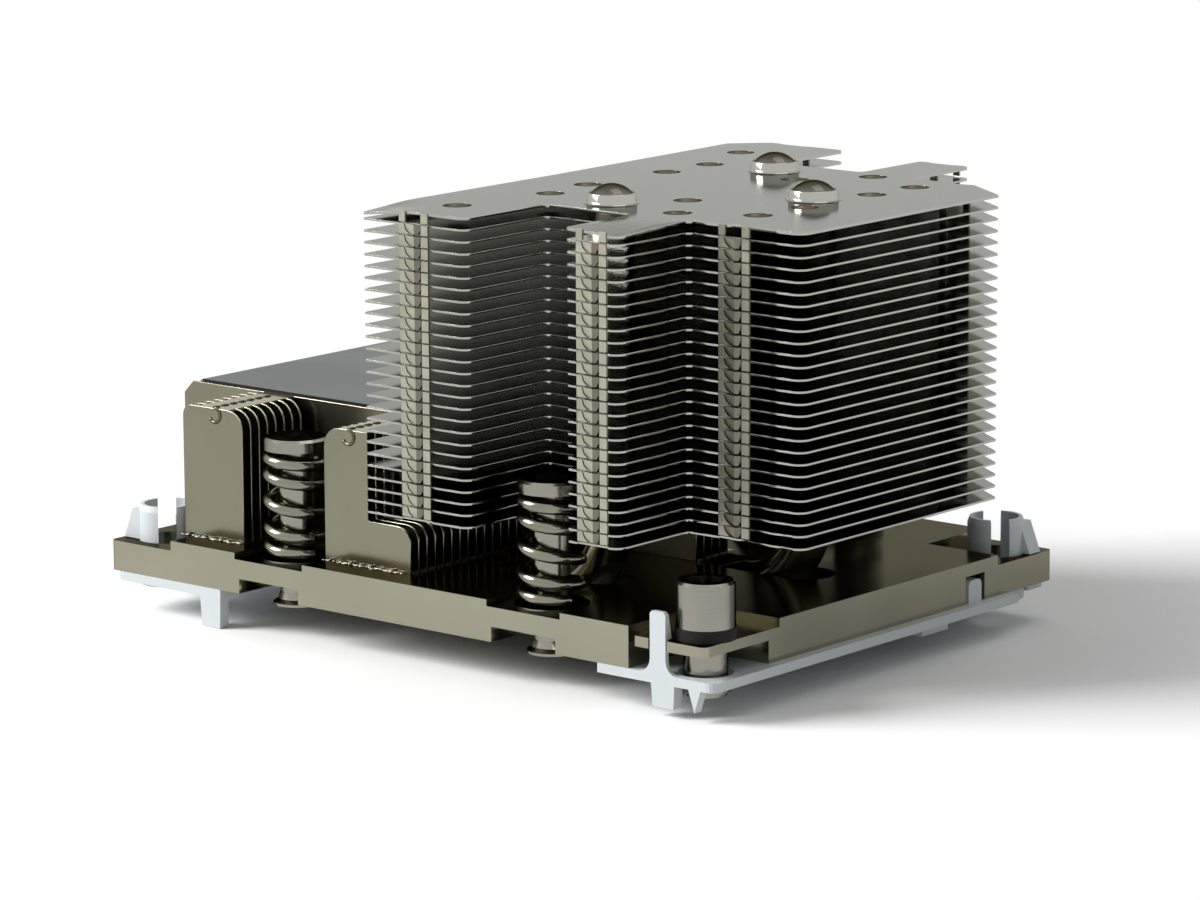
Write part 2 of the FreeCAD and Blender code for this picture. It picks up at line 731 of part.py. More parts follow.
def carrier():
    frame = slab(carrier_outline(), -carrier_thickness, 0)
    window = block(-carrier_window_x / 2, carrier_window_x / 2, -carrier_window_y / 2,
                   carrier_window_y / 2, -carrier_thickness, 0)
    nut_hole = post(nut_x, -nut_y, -carrier_thickness, 0, carrier_nut_hole)
    guide_hole = post(align_x, align_y, -carrier_thickness, 0, guide_radius)
    frame = frame.cut([window, nut_hole, turned_about(nut_hole), guide_hole, turned_about(guide_hole)])
    foot = upright([(foot_left, -carrier_thickness), ((foot_left + foot_right) / 2, -carrier_thickness - foot_height),
                    (foot_right, -carrier_thickness)], -half_y, -half_y + foot_depth)
    lug = block(half_x - lug_width, half_x, lug_y, lug_y + lug_length,
                -carrier_thickness - lug_height, -carrier_thickness)
    front_leg = carrier_leg(-carrier_arm_x - leg_length / 2, leg_height)
    nut_leg = carrier_leg(nut_leg_x, nut_leg_height)
    details = [front_leg, nut_leg, foot, carrier_prong(), carrier_fingers(), side_tab(), lug]
    return frame.fuse(details + [turned_about(d) for d in details]).removeSplitter()


def save(name, shapes):
    shape = shapes[0] if len(shapes) == 1 else Part.makeCompound(shapes)
    shape.exportStep(os.path.join("parts", name + ".step"))


def main():
    os.makedirs("parts", exist_ok=True)
    nut_spots = [(nut_x, -nut_y), (-nut_x, nut_y)]
    save("base_plate", [base_plate()])
    for name, x, y in pipe_places:
        save("heat_pipe_" + name, [heat_pipe(x, y)])
    for name, fins in low_fin_rows().items():
        save(name, fins)
    tab = hooked_tab()
    for level in range(tall_fin_count):
        save("tall_fin_%02d" % (level + 1), [tall_fin(level, tab)])
    save("label", [label()])
    save("carrier", [carrier()])
    for name, x, y in screw_places:
        save("spring_screw_" + name, [spring_screw(x, y)])
        save("sleeve_" + name, [sleeve(x, y)])
        save("spring_" + name, [coil_spring(x, y)])
    save("washers", [washer(x, y) for _, x, y in screw_places])
    save("nut_near", [captive_nut(*nut_spots[0])])
    save("nut_far", [captive_nut(*nut_spots[1])])
    save("nut_seals", [nut_seal(x, y) for x, y in nut_spots])
    save("nut_ring_near", [nut_ring(*nut_spots[0])])
    save("nut_ring_far", [nut_ring(*nut_spots[1])])


main()
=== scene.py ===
import json
import math
import bpy
import bmesh
from mathutils import Matrix, Vector
from mathutils.geometry import delaunay_2d_cdt


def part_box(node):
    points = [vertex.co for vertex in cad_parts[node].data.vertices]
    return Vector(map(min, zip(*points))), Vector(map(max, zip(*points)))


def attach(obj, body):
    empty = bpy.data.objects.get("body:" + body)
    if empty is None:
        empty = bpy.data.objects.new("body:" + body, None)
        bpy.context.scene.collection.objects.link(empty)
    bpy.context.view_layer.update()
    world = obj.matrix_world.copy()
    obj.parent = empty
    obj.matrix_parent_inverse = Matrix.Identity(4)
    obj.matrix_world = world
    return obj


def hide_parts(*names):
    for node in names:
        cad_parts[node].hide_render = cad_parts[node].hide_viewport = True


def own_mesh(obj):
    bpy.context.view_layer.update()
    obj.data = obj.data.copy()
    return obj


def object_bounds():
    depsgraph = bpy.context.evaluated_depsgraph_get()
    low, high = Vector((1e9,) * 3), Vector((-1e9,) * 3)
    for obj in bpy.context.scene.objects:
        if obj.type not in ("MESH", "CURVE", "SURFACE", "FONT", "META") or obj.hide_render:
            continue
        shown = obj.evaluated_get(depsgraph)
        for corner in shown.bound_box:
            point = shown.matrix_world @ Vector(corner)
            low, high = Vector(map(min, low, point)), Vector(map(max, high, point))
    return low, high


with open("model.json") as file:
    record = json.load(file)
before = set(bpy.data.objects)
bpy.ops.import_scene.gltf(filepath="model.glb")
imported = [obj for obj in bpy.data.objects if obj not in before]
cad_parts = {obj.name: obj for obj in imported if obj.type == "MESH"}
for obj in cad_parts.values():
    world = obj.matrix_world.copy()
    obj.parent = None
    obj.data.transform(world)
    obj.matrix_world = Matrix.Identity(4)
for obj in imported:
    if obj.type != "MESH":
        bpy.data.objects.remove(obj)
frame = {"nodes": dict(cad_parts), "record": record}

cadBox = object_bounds()
nodes = frame["nodes"]
rootBody = "heatsink"
mm = 0.001
print("frame loaded:", len(nodes), "nodes")


# Geometry Nodes: small helpers that every tree below uses

def startTree(name, inputs):
    tree = bpy.data.node_groups.new(name, "GeometryNodeTree")
    tree.interface.new_socket("Geometry", in_out="INPUT", socket_type="NodeSocketGeometry")
    for label, kind in inputs:
        tree.interface.new_socket(label, in_out="INPUT", socket_type="NodeSocket" + kind)
    tree.interface.new_socket("Geometry", in_out="OUTPUT", socket_type="NodeSocketGeometry")
    entry = tree.nodes.new("NodeGroupInput")
    return tree, entry


def endTree(tree, entry, geometry):
    realize = tree.nodes.new("GeometryNodeRealizeInstances")
    finish = tree.nodes.new("GeometryNodeSetMaterial")
    leave = tree.nodes.new("NodeGroupOutput")
    tree.links.new(geometry, realize.inputs[0])
    tree.links.new(realize.outputs[0], finish.inputs["Geometry"])
    tree.links.new(entry.outputs["Material"], finish.inputs["Material"])
    tree.links.new(finish.outputs[0], leave.inputs[0])


def sums(tree, operation, *values):
    node = tree.nodes.new("ShaderNodeMath")
    node.operation = operation
    for place, value in enumerate(values):
        if isinstance(value, (int, float)):
            node.inputs[place].default_value = value
        else:
            tree.links.new(value, node.inputs[place])
    return node.outputs[0]


def growPiece(name, startMesh, tree, values):
    piece = bpy.data.objects.new(name, startMesh)
    bpy.context.scene.collection.objects.link(piece)
    growth = piece.modifiers.new(name, "NODES")
    growth.node_group = tree
    for item in tree.interface.items_tree:
        if item.in_out == "INPUT" and item.name in values:
            growth[item.identifier] = values[item.name]
    view = bpy.context.evaluated_depsgraph_get()
    view.update()
    grown = bpy.data.meshes.new_from_object(piece.evaluated_get(view))
    piece.modifiers.clear()
    piece.data = grown
    print("grown:", name, len(grown.polygons), "faces")
    return piece


def addPiece(name, mesh, material):
    piece = bpy.data.objects.new(name, mesh)
    bpy.context.scene.collection.objects.link(piece)
    mesh.materials.clear()
    mesh.materials.append(material)
    return piece


# Mesh code: small helpers that several pieces use

def meshFrom(form, name):
    mesh = bpy.data.meshes.new(name)
    form.to_mesh(mesh)
    form.free()
    return mesh


def closePrism(form, front, back):
    # two matching rims become the ends of a closed form
    form.faces.new(front)
    form.faces.new(list(reversed(back)))
    for i in range(len(front)):
        k = (i + 1) % len(front)
        form.faces.new((front[i], back[i], back[k], front[k]))


def joinRings(form, rings):
    for near, far in zip(rings, rings[1:]):
        for i in range(len(near)):
            k = (i + 1) % len(near)
            form.faces.new((near[i], near[k], far[k], far[i])).smooth = True


# Finishes: plated metal, spring wire, solder, moulded plastic, rubber and film

cloudSpan = (0.3, 0.7)  # most of the noise's values lie in it
grainDetail = 2.0
metalRelief = 0.02 * mm
softRelief = 0.03 * mm


def startMaterial(name):
    material = bpy.data.materials.new(name)
    material.use_nodes = True
    shader = material.node_tree.nodes["Principled BSDF"]
    places = material.node_tree.nodes.new("ShaderNodeTexCoord")
    return material, shader, places


def cloudNode(material, places, scale, detail=3.0, stretch=(1.0, 1.0, 1.0)):
    tree = material.node_tree
    mapping = tree.nodes.new("ShaderNodeMapping")
    mapping.inputs["Scale"].default_value = stretch
    cloud = tree.nodes.new("ShaderNodeTexNoise")
    cloud.inputs["Scale"].default_value = scale
    cloud.inputs["Detail"].default_value = detail
    tree.links.new(places.outputs["Object"], mapping.inputs["Vector"])
    tree.links.new(mapping.outputs["Vector"], cloud.inputs["Vector"])
    return cloud.outputs["Fac"]


def blendColours(material, factor, dark, light):
    mix = material.node_tree.nodes.new("ShaderNodeMix")
    mix.data_type = "RGBA"
    material.node_tree.links.new(factor, mix.inputs["Factor"])
    mix.inputs["A"].default_value = (*dark, 1.0)
    mix.inputs["B"].default_value = (*light, 1.0)
    return mix.outputs["Result"]


def spread(material, factor, low, high):
    span = material.node_tree.nodes.new("ShaderNodeMapRange")
    span.inputs["From Min"].default_value, span.inputs["From Max"].default_value = cloudSpan
    span.inputs["To Min"].default_value = low
    span.inputs["To Max"].default_value = high
    material.node_tree.links.new(factor, span.inputs["Value"])
    return span.outputs["Result"]


def relief(material, shader, height, strength, distance):
    bump = material.node_tree.nodes.new("ShaderNodeBump")
    bump.inputs["Strength"].default_value = strength
    bump.inputs["Distance"].default_value = distance
    material.node_tree.links.new(height, bump.inputs["Height"])
    material.node_tree.links.new(bump.outputs["Normal"], shader.inputs["Normal"])


def paintLightByNormal(material, places, colour, axis, spanEnds, shades):
    # painted light: a face's colour is scaled by how far it looks along an axis, for painted shade on faces
    # that look up and painted highlights on the thin rims of sheared edges
    tree = material.node_tree
    parts = tree.nodes.new("ShaderNodeSeparateXYZ")
    span = tree.nodes.new("ShaderNodeMapRange")
    scaled = tree.nodes.new("ShaderNodeVectorMath")
    scaled.operation = "SCALE"
    span.inputs["From Min"].default_value, span.inputs["From Max"].default_value = spanEnds
    span.inputs["To Min"].default_value, span.inputs["To Max"].default_value = shades
    tree.links.new(places.outputs["Normal"], parts.inputs[0])
    facing = parts.outputs[axis[-1]]
    if axis.startswith("both"):
        facing = sums(tree, "ABSOLUTE", facing)
    tree.links.new(facing, span.inputs["Value"])
    tree.links.new(colour, scaled.inputs[0])
    tree.links.new(span.outputs["Result"], scaled.inputs["Scale"])
    return scaled.outputs[0]


def metalFinish(name, look):
    material, shader, places = startMaterial(name)
    links = material.node_tree.links
    shader.inputs["Metallic"].default_value = 1.0
    # a low edge tint darkens a metal's rims at grazing angles: painted shade, strongest on the screws,
    # springs and pipes
    shader.inputs["Specular Tint"].default_value = (*look["edgeTint"], 1.0)
    patches = cloudNode(material, places, look["patchScale"])
    grain = cloudNode(material, places, look["grainScale"], grainDetail, look["grainStretch"])
    colour = blendColours(material, patches, look["dark"], look["light"])
    if "facing" in look:
        colour = paintLightByNormal(material, places, colour, *look["facing"])
    links.new(colour, shader.inputs["Base Color"])
    links.new(spread(material, patches, *look["roughness"]), shader.inputs["Roughness"])
    relief(material, shader, grain, look["grain"], metalRelief)
    return material


# facing paints light and shade by the way a face looks: the axis, the span of the normal along it, and how
# bright the colour is at the span's two ends
# painted shade: the plate's faces that look up are darkened to about a third
nickelPlate = {"dark": (0.29, 0.277, 0.212), "light": (0.36, 0.345, 0.268), "edgeTint": (0.38, 0.37, 0.33),
               "patchScale": 60.0, "grainScale": 1500.0, "grainStretch": (0.3, 0.3, 2.0),
               "roughness": (0.13, 0.2), "grain": 0.12, "facing": ("Z", (0.8, 0.95), (1.0, 0.34))}
# painted light: the sheets' thin rims are lightened and their flat faces darkened a little
finNickel = {"dark": (0.29, 0.29, 0.262), "light": (0.34, 0.34, 0.31), "edgeTint": (0.62, 0.63, 0.6),
             "patchScale": 90.0, "grainScale": 3000.0, "grainStretch": (1.0, 1.0, 1.0),
             "roughness": (0.08, 0.13), "grain": 0.08, "facing": ("bothZ", (0.5, 0.95), (1.35, 0.8))}
hookNickel = {"dark": (0.31, 0.30, 0.235), "light": (0.44, 0.425, 0.34), "edgeTint": (0.8, 0.8, 0.76),
              "patchScale": 300.0, "grainScale": 3000.0, "grainStretch": (1.0, 1.0, 1.0),
              "roughness": (0.32, 0.44), "grain": 0.1}
# painted highlight: the thin rims of the low sheets are lightened up to twice their colour
lowNickel = {"dark": (0.22, 0.207, 0.152), "light": (0.265, 0.251, 0.187), "edgeTint": (0.7, 0.69, 0.64),
             "patchScale": 70.0, "grainScale": 2600.0, "grainStretch": (1.0, 1.0, 1.0),
             "roughness": (0.18, 0.27), "grain": 0.12, "facing": ("bothY", (0.6, 0.95), (2.0, 1.0))}
# painted shade: the faces that look up on screws, sleeves, washers and nuts are darkened to a quarter
turnedSteel = {"dark": (0.25, 0.243, 0.206), "light": (0.32, 0.312, 0.264), "edgeTint": (0.16, 0.16, 0.15),
               "patchScale": 150.0, "grainScale": 900.0, "grainStretch": (0.05, 0.05, 6.0),
               "roughness": (0.12, 0.2), "grain": 0.2, "facing": ("Z", (0.8, 0.95), (1.0, 0.25))}
springWire = {"dark": (0.20, 0.192, 0.152), "light": (0.29, 0.277, 0.225), "edgeTint": (0.24, 0.24, 0.22),
              "patchScale": 220.0, "grainScale": 2500.0, "grainStretch": (1.0, 1.0, 1.0),
              "roughness": (0.12, 0.2), "grain": 0.12}
# painted shade: a darker copy of the hook finish, for the right flanks of the tongues
hookShade = {"dark": (0.15, 0.144, 0.11), "light": (0.23, 0.22, 0.17), "edgeTint": (0.8, 0.8, 0.76),
             "patchScale": 300.0, "grainScale": 3000.0, "grainStretch": (1.0, 1.0, 1.0),
             "roughness": (0.3, 0.4), "grain": 0.1}
# a dark finish: the dimples' dishes are darker than the sheet, and on the two curls it is painted shade
darkDentsAndCurlShade = {"dark": (0.09, 0.08, 0.055), "light": (0.17, 0.16, 0.12), "edgeTint": (0.35, 0.33, 0.28),
               "patchScale": 700.0, "grainScale": 3000.0, "grainStretch": (1.0, 1.0, 1.0),
               "roughness": (0.16, 0.26), "grain": 0.08}
# darker on faces that look up, down to a third: partly tarnish of the domes at the pipe tips, partly painted
# shade on every upward face
pipeNickel = {"dark": (0.2, 0.18, 0.14), "light": (0.4, 0.385, 0.315), "edgeTint": (0.3, 0.3, 0.27),
              "patchScale": 160.0, "grainScale": 1800.0, "grainStretch": (1.0, 1.0, 1.0),
              "roughness": (0.12, 0.2), "grain": 0.15, "facing": ("Z", (0.3, 0.85), (1.0, 0.3))}
solderTin = {"dark": (0.05, 0.047, 0.036), "light": (0.28, 0.27, 0.23), "edgeTint": (0.8, 0.8, 0.78),
             "patchScale": 900.0, "grainScale": 2500.0, "grainStretch": (1.0, 1.0, 1.0),
             "roughness": (0.14, 0.24), "grain": 0.2}


def softFinish(name, look):
    material, shader, places = startMaterial(name)
    links = material.node_tree.links
    patches = cloudNode(material, places, look["patchScale"])
    grain = cloudNode(material, places, look["grainScale"], grainDetail)
    links.new(blendColours(material, patches, look["dark"], look["light"]), shader.inputs["Base Color"])
    links.new(spread(material, patches, *look["roughness"]), shader.inputs["Roughness"])
    relief(material, shader, grain, look["grain"], softRelief)
    shader.inputs["Specular IOR Level"].default_value = look["gloss"]
    return material


carrierPlastic = {"dark": (0.47, 0.505, 0.52), "light": (0.52, 0.555, 0.57), "patchScale": 45.0,
                  "grainScale": 2500.0, "roughness": (0.42, 0.52), "grain": 0.12, "gloss": 0.4}
sealRubber = {"dark": (0.008, 0.008, 0.008), "light": (0.018, 0.018, 0.017), "patchScale": 300.0,
              "grainScale": 2500.0, "roughness": (0.5, 0.62), "grain": 0.2, "gloss": 0.12}
labelFilm = {"dark": (0.052, 0.058, 0.057), "light": (0.067, 0.074, 0.072), "patchScale": 40.0,
             "grainScale": 3500.0, "roughness": (0.36, 0.44), "grain": 0.08, "gloss": 0.22}

finishes = {
    "plate": metalFinish("nickelPlate", nickelPlate),
    "fin_sheet": metalFinish("finNickel", finNickel),
    "hook": metalFinish("hookNickel", hookNickel),
    "hookShade": metalFinish("hookShade", hookShade),
    "lowFin": metalFinish("lowNickel", lowNickel),
    "dent": metalFinish("darkDentsAndCurlShade", darkDentsAndCurlShade),
    "pipe": metalFinish("pipeNickel", pipeNickel),
    "screw": metalFinish("turnedSteel", turnedSteel),
    "spring": metalFinish("springWire", springWire),
    "solder": metalFinish("solderTin", solderTin),
    "label": softFinish("labelFilm", labelFilm),
    "carrier": softFinish("carrierPlastic", carrierPlastic),
    "seal": softFinish("sealRubber", sealRubber),
}
slotFinish = {"plate": "plate", "fin_sheet": "fin_sheet", "pipe": "pipe", "screw": "screw",
              "sleeve": "screw", "spring": "spring", "washer": "screw", "nut": "screw",
              "label": "label", "carrier": "carrier", "seal": "seal"}

for part in frame["record"]["subparts"]:
    node = nodes[part["node"]]
    node.data.materials.clear()
    finish = "lowFin" if part["node"].startswith("low_fins") else slotFinish[part["material_slot"]]
    node.data.materials.append(finishes[finish])
print("finishes set")


# Tall stack: one level sheet grown into a stack, hooked columns, and the top sheet

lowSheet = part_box("tall_fin_01")
tallStack = {
    "left": lowSheet[0][0], "right": lowSheet[1][0] - 0.02 * mm, "half": lowSheet[1][1],
    "bottom": lowSheet[0][2], "thickness": lowSheet[1][2] - lowSheet[0][2],
    "topFace": 57.1 * mm, "count": 27,
    "midHalf": 38.8 * mm, "sideHalf": 24.4 * mm, "midRight": 39.6 * mm,
    "slotLeft": 15.7 * mm, "slotRight": 30.7 * mm, "slotWall": 25.0 * mm,
    "corner": 1.7 * mm, "insideCorner": 1.0 * mm, "stepCorner": 0.6 * mm, "cutCorner": 0.5 * mm,
    "frontLeftCorner": 0.3 * mm, "backLeftCorner": 0.8 * mm,
    "backCutLeft": 4.5 * mm, "backCutRight": 8.0 * mm, "sideCutRight": 5.5 * mm,
    "pipeHole": 3.03 * mm, "pipeHoleSides": 20, "gridStep": 10.5 * mm, "topGridStep": 2.1 * mm,
    "sheetThin": 0.27 * mm, "edgeRound": 0.07 * mm, "edgeSteps": 2, "tilt": 0.0006, "seed": 4,
}
stackRise = tallStack["topFace"] - tallStack["thickness"] - tallStack["bottom"]
tallStack["pitch"] = stackRise / (tallStack["count"] - 1)
rounding = {"steps": 5, "tightSteps": 1, "tightRadius": 0.2 * mm}
# the hook's outlines are in millimetres, across and up
hook = {
    "columns": [(6.6 * mm, tallStack["half"]), (35.1 * mm, tallStack["midHalf"]),
                (47.2 * mm, tallStack["sideHalf"])],
    "halfWidth": 2.6 * mm, "notch": 0.35 * mm, "notchCorner": 0.08 * mm, "drop": 1.53 * mm,
    "plateThickness": 0.3 * mm, "tongueLift": 0.41 * mm, "edgeLift": 0.04 * mm,
    "leftPlate": [(-2.55, 0.1), (-2.55, 1.46), (-1.70, 1.46), (-1.60, 1.16), (-1.42, 0.66), (-0.72, 0.1)],
    "rightPlate": [(1.28, 0.1), (1.28, 1.46), (2.5, 1.46), (2.5, 0.1)],
    "openPlate": [(-2.55, 0.1), (-2.55, 1.5), (-1.5, 1.5), (-1.5, 0.1)],
    "tongueLeft": [(-1.50, 1.52), (-1.38, 1.20), (-1.22, 0.78), (-0.46, 0.04), (0.05, -0.06)],
    "tongueRidge": [(0.42, 1.5), (0.42, 0.2)],
    "tongueRight": [(1.2, 1.50), (1.2, 0.72), (0.80, 0.14)],
}
pipeRadius = 3.0 * mm
pipeAxes = []
for pipeName in ("heat_pipe_front", "heat_pipe_back", "heat_pipe_side"):
    pipeLow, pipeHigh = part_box(pipeName)
    pipeAxes.append((pipeHigh[0] - pipeRadius, (pipeLow[1] + pipeHigh[1]) / 2))


def columnNotch(x, edge, side):
    # the sheet stands back behind each hooked column, so that the gaps between the hooks stay dark
    left, right = x - hook["halfWidth"], x + hook["halfWidth"]
    back, tight = edge + side * hook["notch"], hook["notchCorner"]
    corners = [(left, edge, tight), (left, back, tight), (right, back, tight), (right, edge, tight)]
    return corners if side > 0 else corners[::-1]


def sheetCorners():
    s = tallStack
    notches = [columnNotch(x, -edge, 1) for x, edge in hook["columns"]]
    backNotches = [columnNotch(x, edge, -1) for x, edge in hook["columns"]]
    wide, inside, cut = s["corner"], s["insideCorner"], s["cutCorner"]
    front = [(s["left"], -s["half"], s["frontLeftCorner"]), *notches[0], (s["slotLeft"], -s["half"], wide),
             (s["slotLeft"], -s["slotWall"], inside), (s["slotRight"], -s["slotWall"], inside),
             (s["slotRight"], -s["midHalf"], s["stepCorner"]), *notches[1],
             (s["midRight"], -s["midHalf"], wide), (s["midRight"], -s["sideHalf"], inside),
             *notches[2], (s["right"], -s["sideHalf"], wide)]
    back = [(s["right"], s["sideHalf"] - s["sideCutRight"], cut),
            (s["right"] - s["backCutRight"], s["sideHalf"], cut),
            *backNotches[2], (s["midRight"], s["sideHalf"], inside),
            (s["midRight"], s["midHalf"], wide), *backNotches[1],
            (s["slotRight"], s["midHalf"], s["stepCorner"]), (s["slotRight"], s["slotWall"], inside),
            (s["slotLeft"], s["slotWall"], inside), (s["slotLeft"], s["half"], wide),
            *backNotches[0], (s["left"] + s["backCutLeft"], s["half"], cut),
            (s["left"], s["half"] - s["backCutLeft"], s["backLeftCorner"])]
    return front + back


def roundCorners(corners):
    outline = []
    for i, (x, y, radius) in enumerate(corners):
        steps = rounding["steps"] if radius > rounding["tightRadius"] else rounding["tightSteps"]
        here = Vector((x, y))
        before = (Vector(corners[i - 1][:2]) - here).normalized()
        after = (Vector(corners[(i + 1) % len(corners)][:2]) - here).normalized()
        half = before.angle(after) / 2
        reach = radius / math.tan(half)
        centre = here + (before + after).normalized() * (radius / math.sin(half))
        start = here + before * reach - centre
        end = here + after * reach - centre
        sweep = start.angle_signed(end)
        for step in range(steps + 1):
            turn = -sweep * step / steps
            outline.append(centre + Matrix.Rotation(turn, 2) @ start)
    return outline


def circlePoints(x, y, radius, count):
    turns = [2 * math.pi * i / count for i in range(count)]
    return [Vector((x + radius * math.cos(a), y + radius * math.sin(a))) for a in turns]


def isInside(spot, outline):
    inside = False
    for i, near in enumerate(outline):
        far = outline[i - 1]
        if (near.y > spot.y) != (far.y > spot.y):
            crossing = (far.x - near.x) * (spot.y - near.y) / (far.y - near.y) + near.x
            inside = inside != (spot.x < crossing)
    return inside


def softenRim(form):
    # a sheared edge: both rims are rounded, so that they catch the light as a thin line
    levelNormal, flatNormal = 0.9, 0.98
    rims = []
    for edge in form.edges:
        level = [abs(face.normal.z) > levelNormal for face in edge.link_faces]
        if len(level) == 2 and level[0] != level[1]:
            rims.append(edge)
    bmesh.ops.bevel(form, geom=rims, offset=tallStack["edgeRound"], segments=tallStack["edgeSteps"],
                    profile=0.5, affect="EDGES", clamp_overlap=True)
    for face in form.faces:
        face.smooth = abs(face.normal.z) < flatNormal


def sheetMesh(name, outline, holes, low, high, gridStep):
    spots = list(outline)
    edges = [(i, (i + 1) % len(outline)) for i in range(len(outline))]
    for hole in holes:
        first = len(spots)
        spots += hole
        edges += [(first + i, first + (i + 1) % len(hole)) for i in range(len(hole))]
    x = min(p.x for p in outline) + gridStep / 2
    while x < max(p.x for p in outline):
        y = min(p.y for p in outline) + gridStep / 2
        while y < max(p.y for p in outline):
            spot = Vector((x, y))
            if isInside(spot, outline) and not any(isInside(spot, hole) for hole in holes):
                spots.append(spot)
            y += gridStep
        x += gridStep
    found = delaunay_2d_cdt(spots, edges, [], 0, 1e-7)
    flat = bmesh.new()
    corners = [flat.verts.new((p.x, p.y, low)) for p in found[0]]
    for face in found[2]:
        middle = sum((found[0][i] for i in face), Vector((0, 0))) / len(face)
        if isInside(middle, outline) and not any(isInside(middle, hole) for hole in holes):
            flat.faces.new([corners[i] for i in face])
    loose = [v for v in flat.verts if not v.link_faces]
    bmesh.ops.delete(flat, geom=loose, context="VERTS")
    lifted = bmesh.ops.extrude_face_region(flat, geom=flat.faces[:])
    for v in lifted["geom"]:
        if isinstance(v, bmesh.types.BMVert):
            v.co.z = high
    bmesh.ops.recalc_face_normals(flat, faces=flat.faces[:])
    softenRim(flat)
    return meshFrom(flat, name)


def stackTree():
    inputs = [("Count", "Int"), ("Pitch", "Float"), ("Unevenness", "Float"), ("Seed", "Int"),
              ("Material", "Material")]
    tree, entry = startTree("sheetStack", inputs)
    link = tree.links.new
    offset = tree.nodes.new("ShaderNodeCombineXYZ")
    line = tree.nodes.new("GeometryNodeMeshLine")
    stack = tree.nodes.new("GeometryNodeInstanceOnPoints")
    shiver = tree.nodes.new("FunctionNodeRandomValue")
    shiver.data_type = "FLOAT_VECTOR"
    tilt = tree.nodes.new("ShaderNodeVectorMath")
    tilt.operation = "SCALE"
    shiver.inputs["Min"].default_value = (-1.0, -1.0, 0.0)
    shiver.inputs["Max"].default_value = (1.0, 1.0, 0.0)
    link(entry.outputs["Pitch"], offset.inputs["Z"])
    link(entry.outputs["Count"], line.inputs["Count"])
    link(offset.outputs[0], line.inputs["Offset"])
    link(entry.outputs["Seed"], shiver.inputs["Seed"])
    link(shiver.outputs[0], tilt.inputs[0])
    link(entry.outputs["Unevenness"], tilt.inputs["Scale"])
    link(line.outputs[0], stack.inputs["Points"])
    link(entry.outputs["Geometry"], stack.inputs["Instance"])
    link(tilt.outputs[0], stack.inputs["Rotation"])
    endTree(tree, entry, stack.outputs[0])
    return tree


sheetOutline = roundCorners(sheetCorners())
pipeHoles = [circlePoints(x, y, tallStack["pipeHole"], tallStack["pipeHoleSides"]) for x, y in pipeAxes]
lowTop = tallStack["bottom"] + tallStack["thickness"]
oneSheet = sheetMesh("levelSheet", sheetOutline, pipeHoles, lowTop - tallStack["sheetThin"], lowTop,
                     tallStack["gridStep"])
levelSheets = growPiece("levelSheets", oneSheet, stackTree(), {
    "Count": tallStack["count"] - 1, "Pitch": tallStack["pitch"], "Unevenness": tallStack["tilt"],
    "Seed": tallStack["seed"], "Material": finishes["fin_sheet"]})

# Hooked columns: a left plate, a folded tongue and a right plate on every level but the top one

def plateFaces(form, points):
    near = [form.verts.new((x * mm, 0.0, z * mm)) for x, z in points]
    far = [form.verts.new((x * mm, hook["plateThickness"], z * mm)) for x, z in points]
    closePrism(form, near, far)


def wedgeFaces(form, rim, ridge):
    # a closed wedge: its rim lies on the plates and its ridge stands out from them
    edge = [form.verts.new((x * mm, -hook["edgeLift"], z * mm)) for x, z in rim]
    crest = [form.verts.new((x * mm, -hook["tongueLift"], z * mm)) for x, z in ridge]
    front = edge + list(reversed(crest))
    back = [form.verts.new((v.co.x, hook["plateThickness"], v.co.z)) for v in front]
    closePrism(form, front, back)


def hookMesh(name, part):
    # part: a whole hook, the right flank of its tongue, which takes a painted-shade finish, or an open tab
    # with no tongue
    form = bmesh.new()
    if part == "flank":
        wedgeFaces(form, hook["tongueRight"], hook["tongueRidge"])
    else:
        plateFaces(form, hook["leftPlate"] if part == "hook" else hook["openPlate"])
        plateFaces(form, hook["rightPlate"])
    if part == "hook":
        wedgeFaces(form, hook["tongueLeft"], hook["tongueRidge"])
    bmesh.ops.triangulate(form, faces=[face for face in form.faces if len(face.verts) > 4])
    bmesh.ops.recalc_face_normals(form, faces=form.faces[:])
    return meshFrom(form, name)


def seatingTree():
    inputs = [("Piece", "Object"), ("Unevenness", "Float"), ("Seed", "Int"), ("Material", "Material")]
    tree, entry = startTree("seating", inputs)
    link = tree.links.new
    source = tree.nodes.new("GeometryNodeObjectInfo")
    seat = tree.nodes.new("GeometryNodeInstanceOnPoints")
    turn = tree.nodes.new("GeometryNodeInputNamedAttribute")
    turn.inputs["Name"].default_value = "turn"
    aim = tree.nodes.new("ShaderNodeCombineXYZ")
    size = tree.nodes.new("FunctionNodeRandomValue")
    spreadLow = sums(tree, "SUBTRACT", 1.0, entry.outputs["Unevenness"])
    spreadHigh = sums(tree, "ADD", 1.0, entry.outputs["Unevenness"])
    link(spreadLow, size.inputs[2])
    link(spreadHigh, size.inputs[3])
    link(entry.outputs["Seed"], size.inputs["Seed"])
    link(entry.outputs["Piece"], source.inputs["Object"])
    link(turn.outputs["Attribute"], aim.inputs["Z"])
    link(entry.outputs["Geometry"], seat.inputs["Points"])
    link(source.outputs["Geometry"], seat.inputs["Instance"])
    link(aim.outputs[0], seat.inputs["Rotation"])
    link(size.outputs[1], seat.inputs["Scale"])
    endTree(tree, entry, seat.outputs[0])
    return tree


def seatPoints(name, spots):
    mesh = bpy.data.meshes.new(name)
    mesh.from_pydata([spot[:3] for spot in spots], [], [])
    turns = mesh.attributes.new("turn", "FLOAT", "POINT")
    for i, spot in enumerate(spots):
        turns.data[i].value = spot[3]
    return mesh


seating = seatingTree()


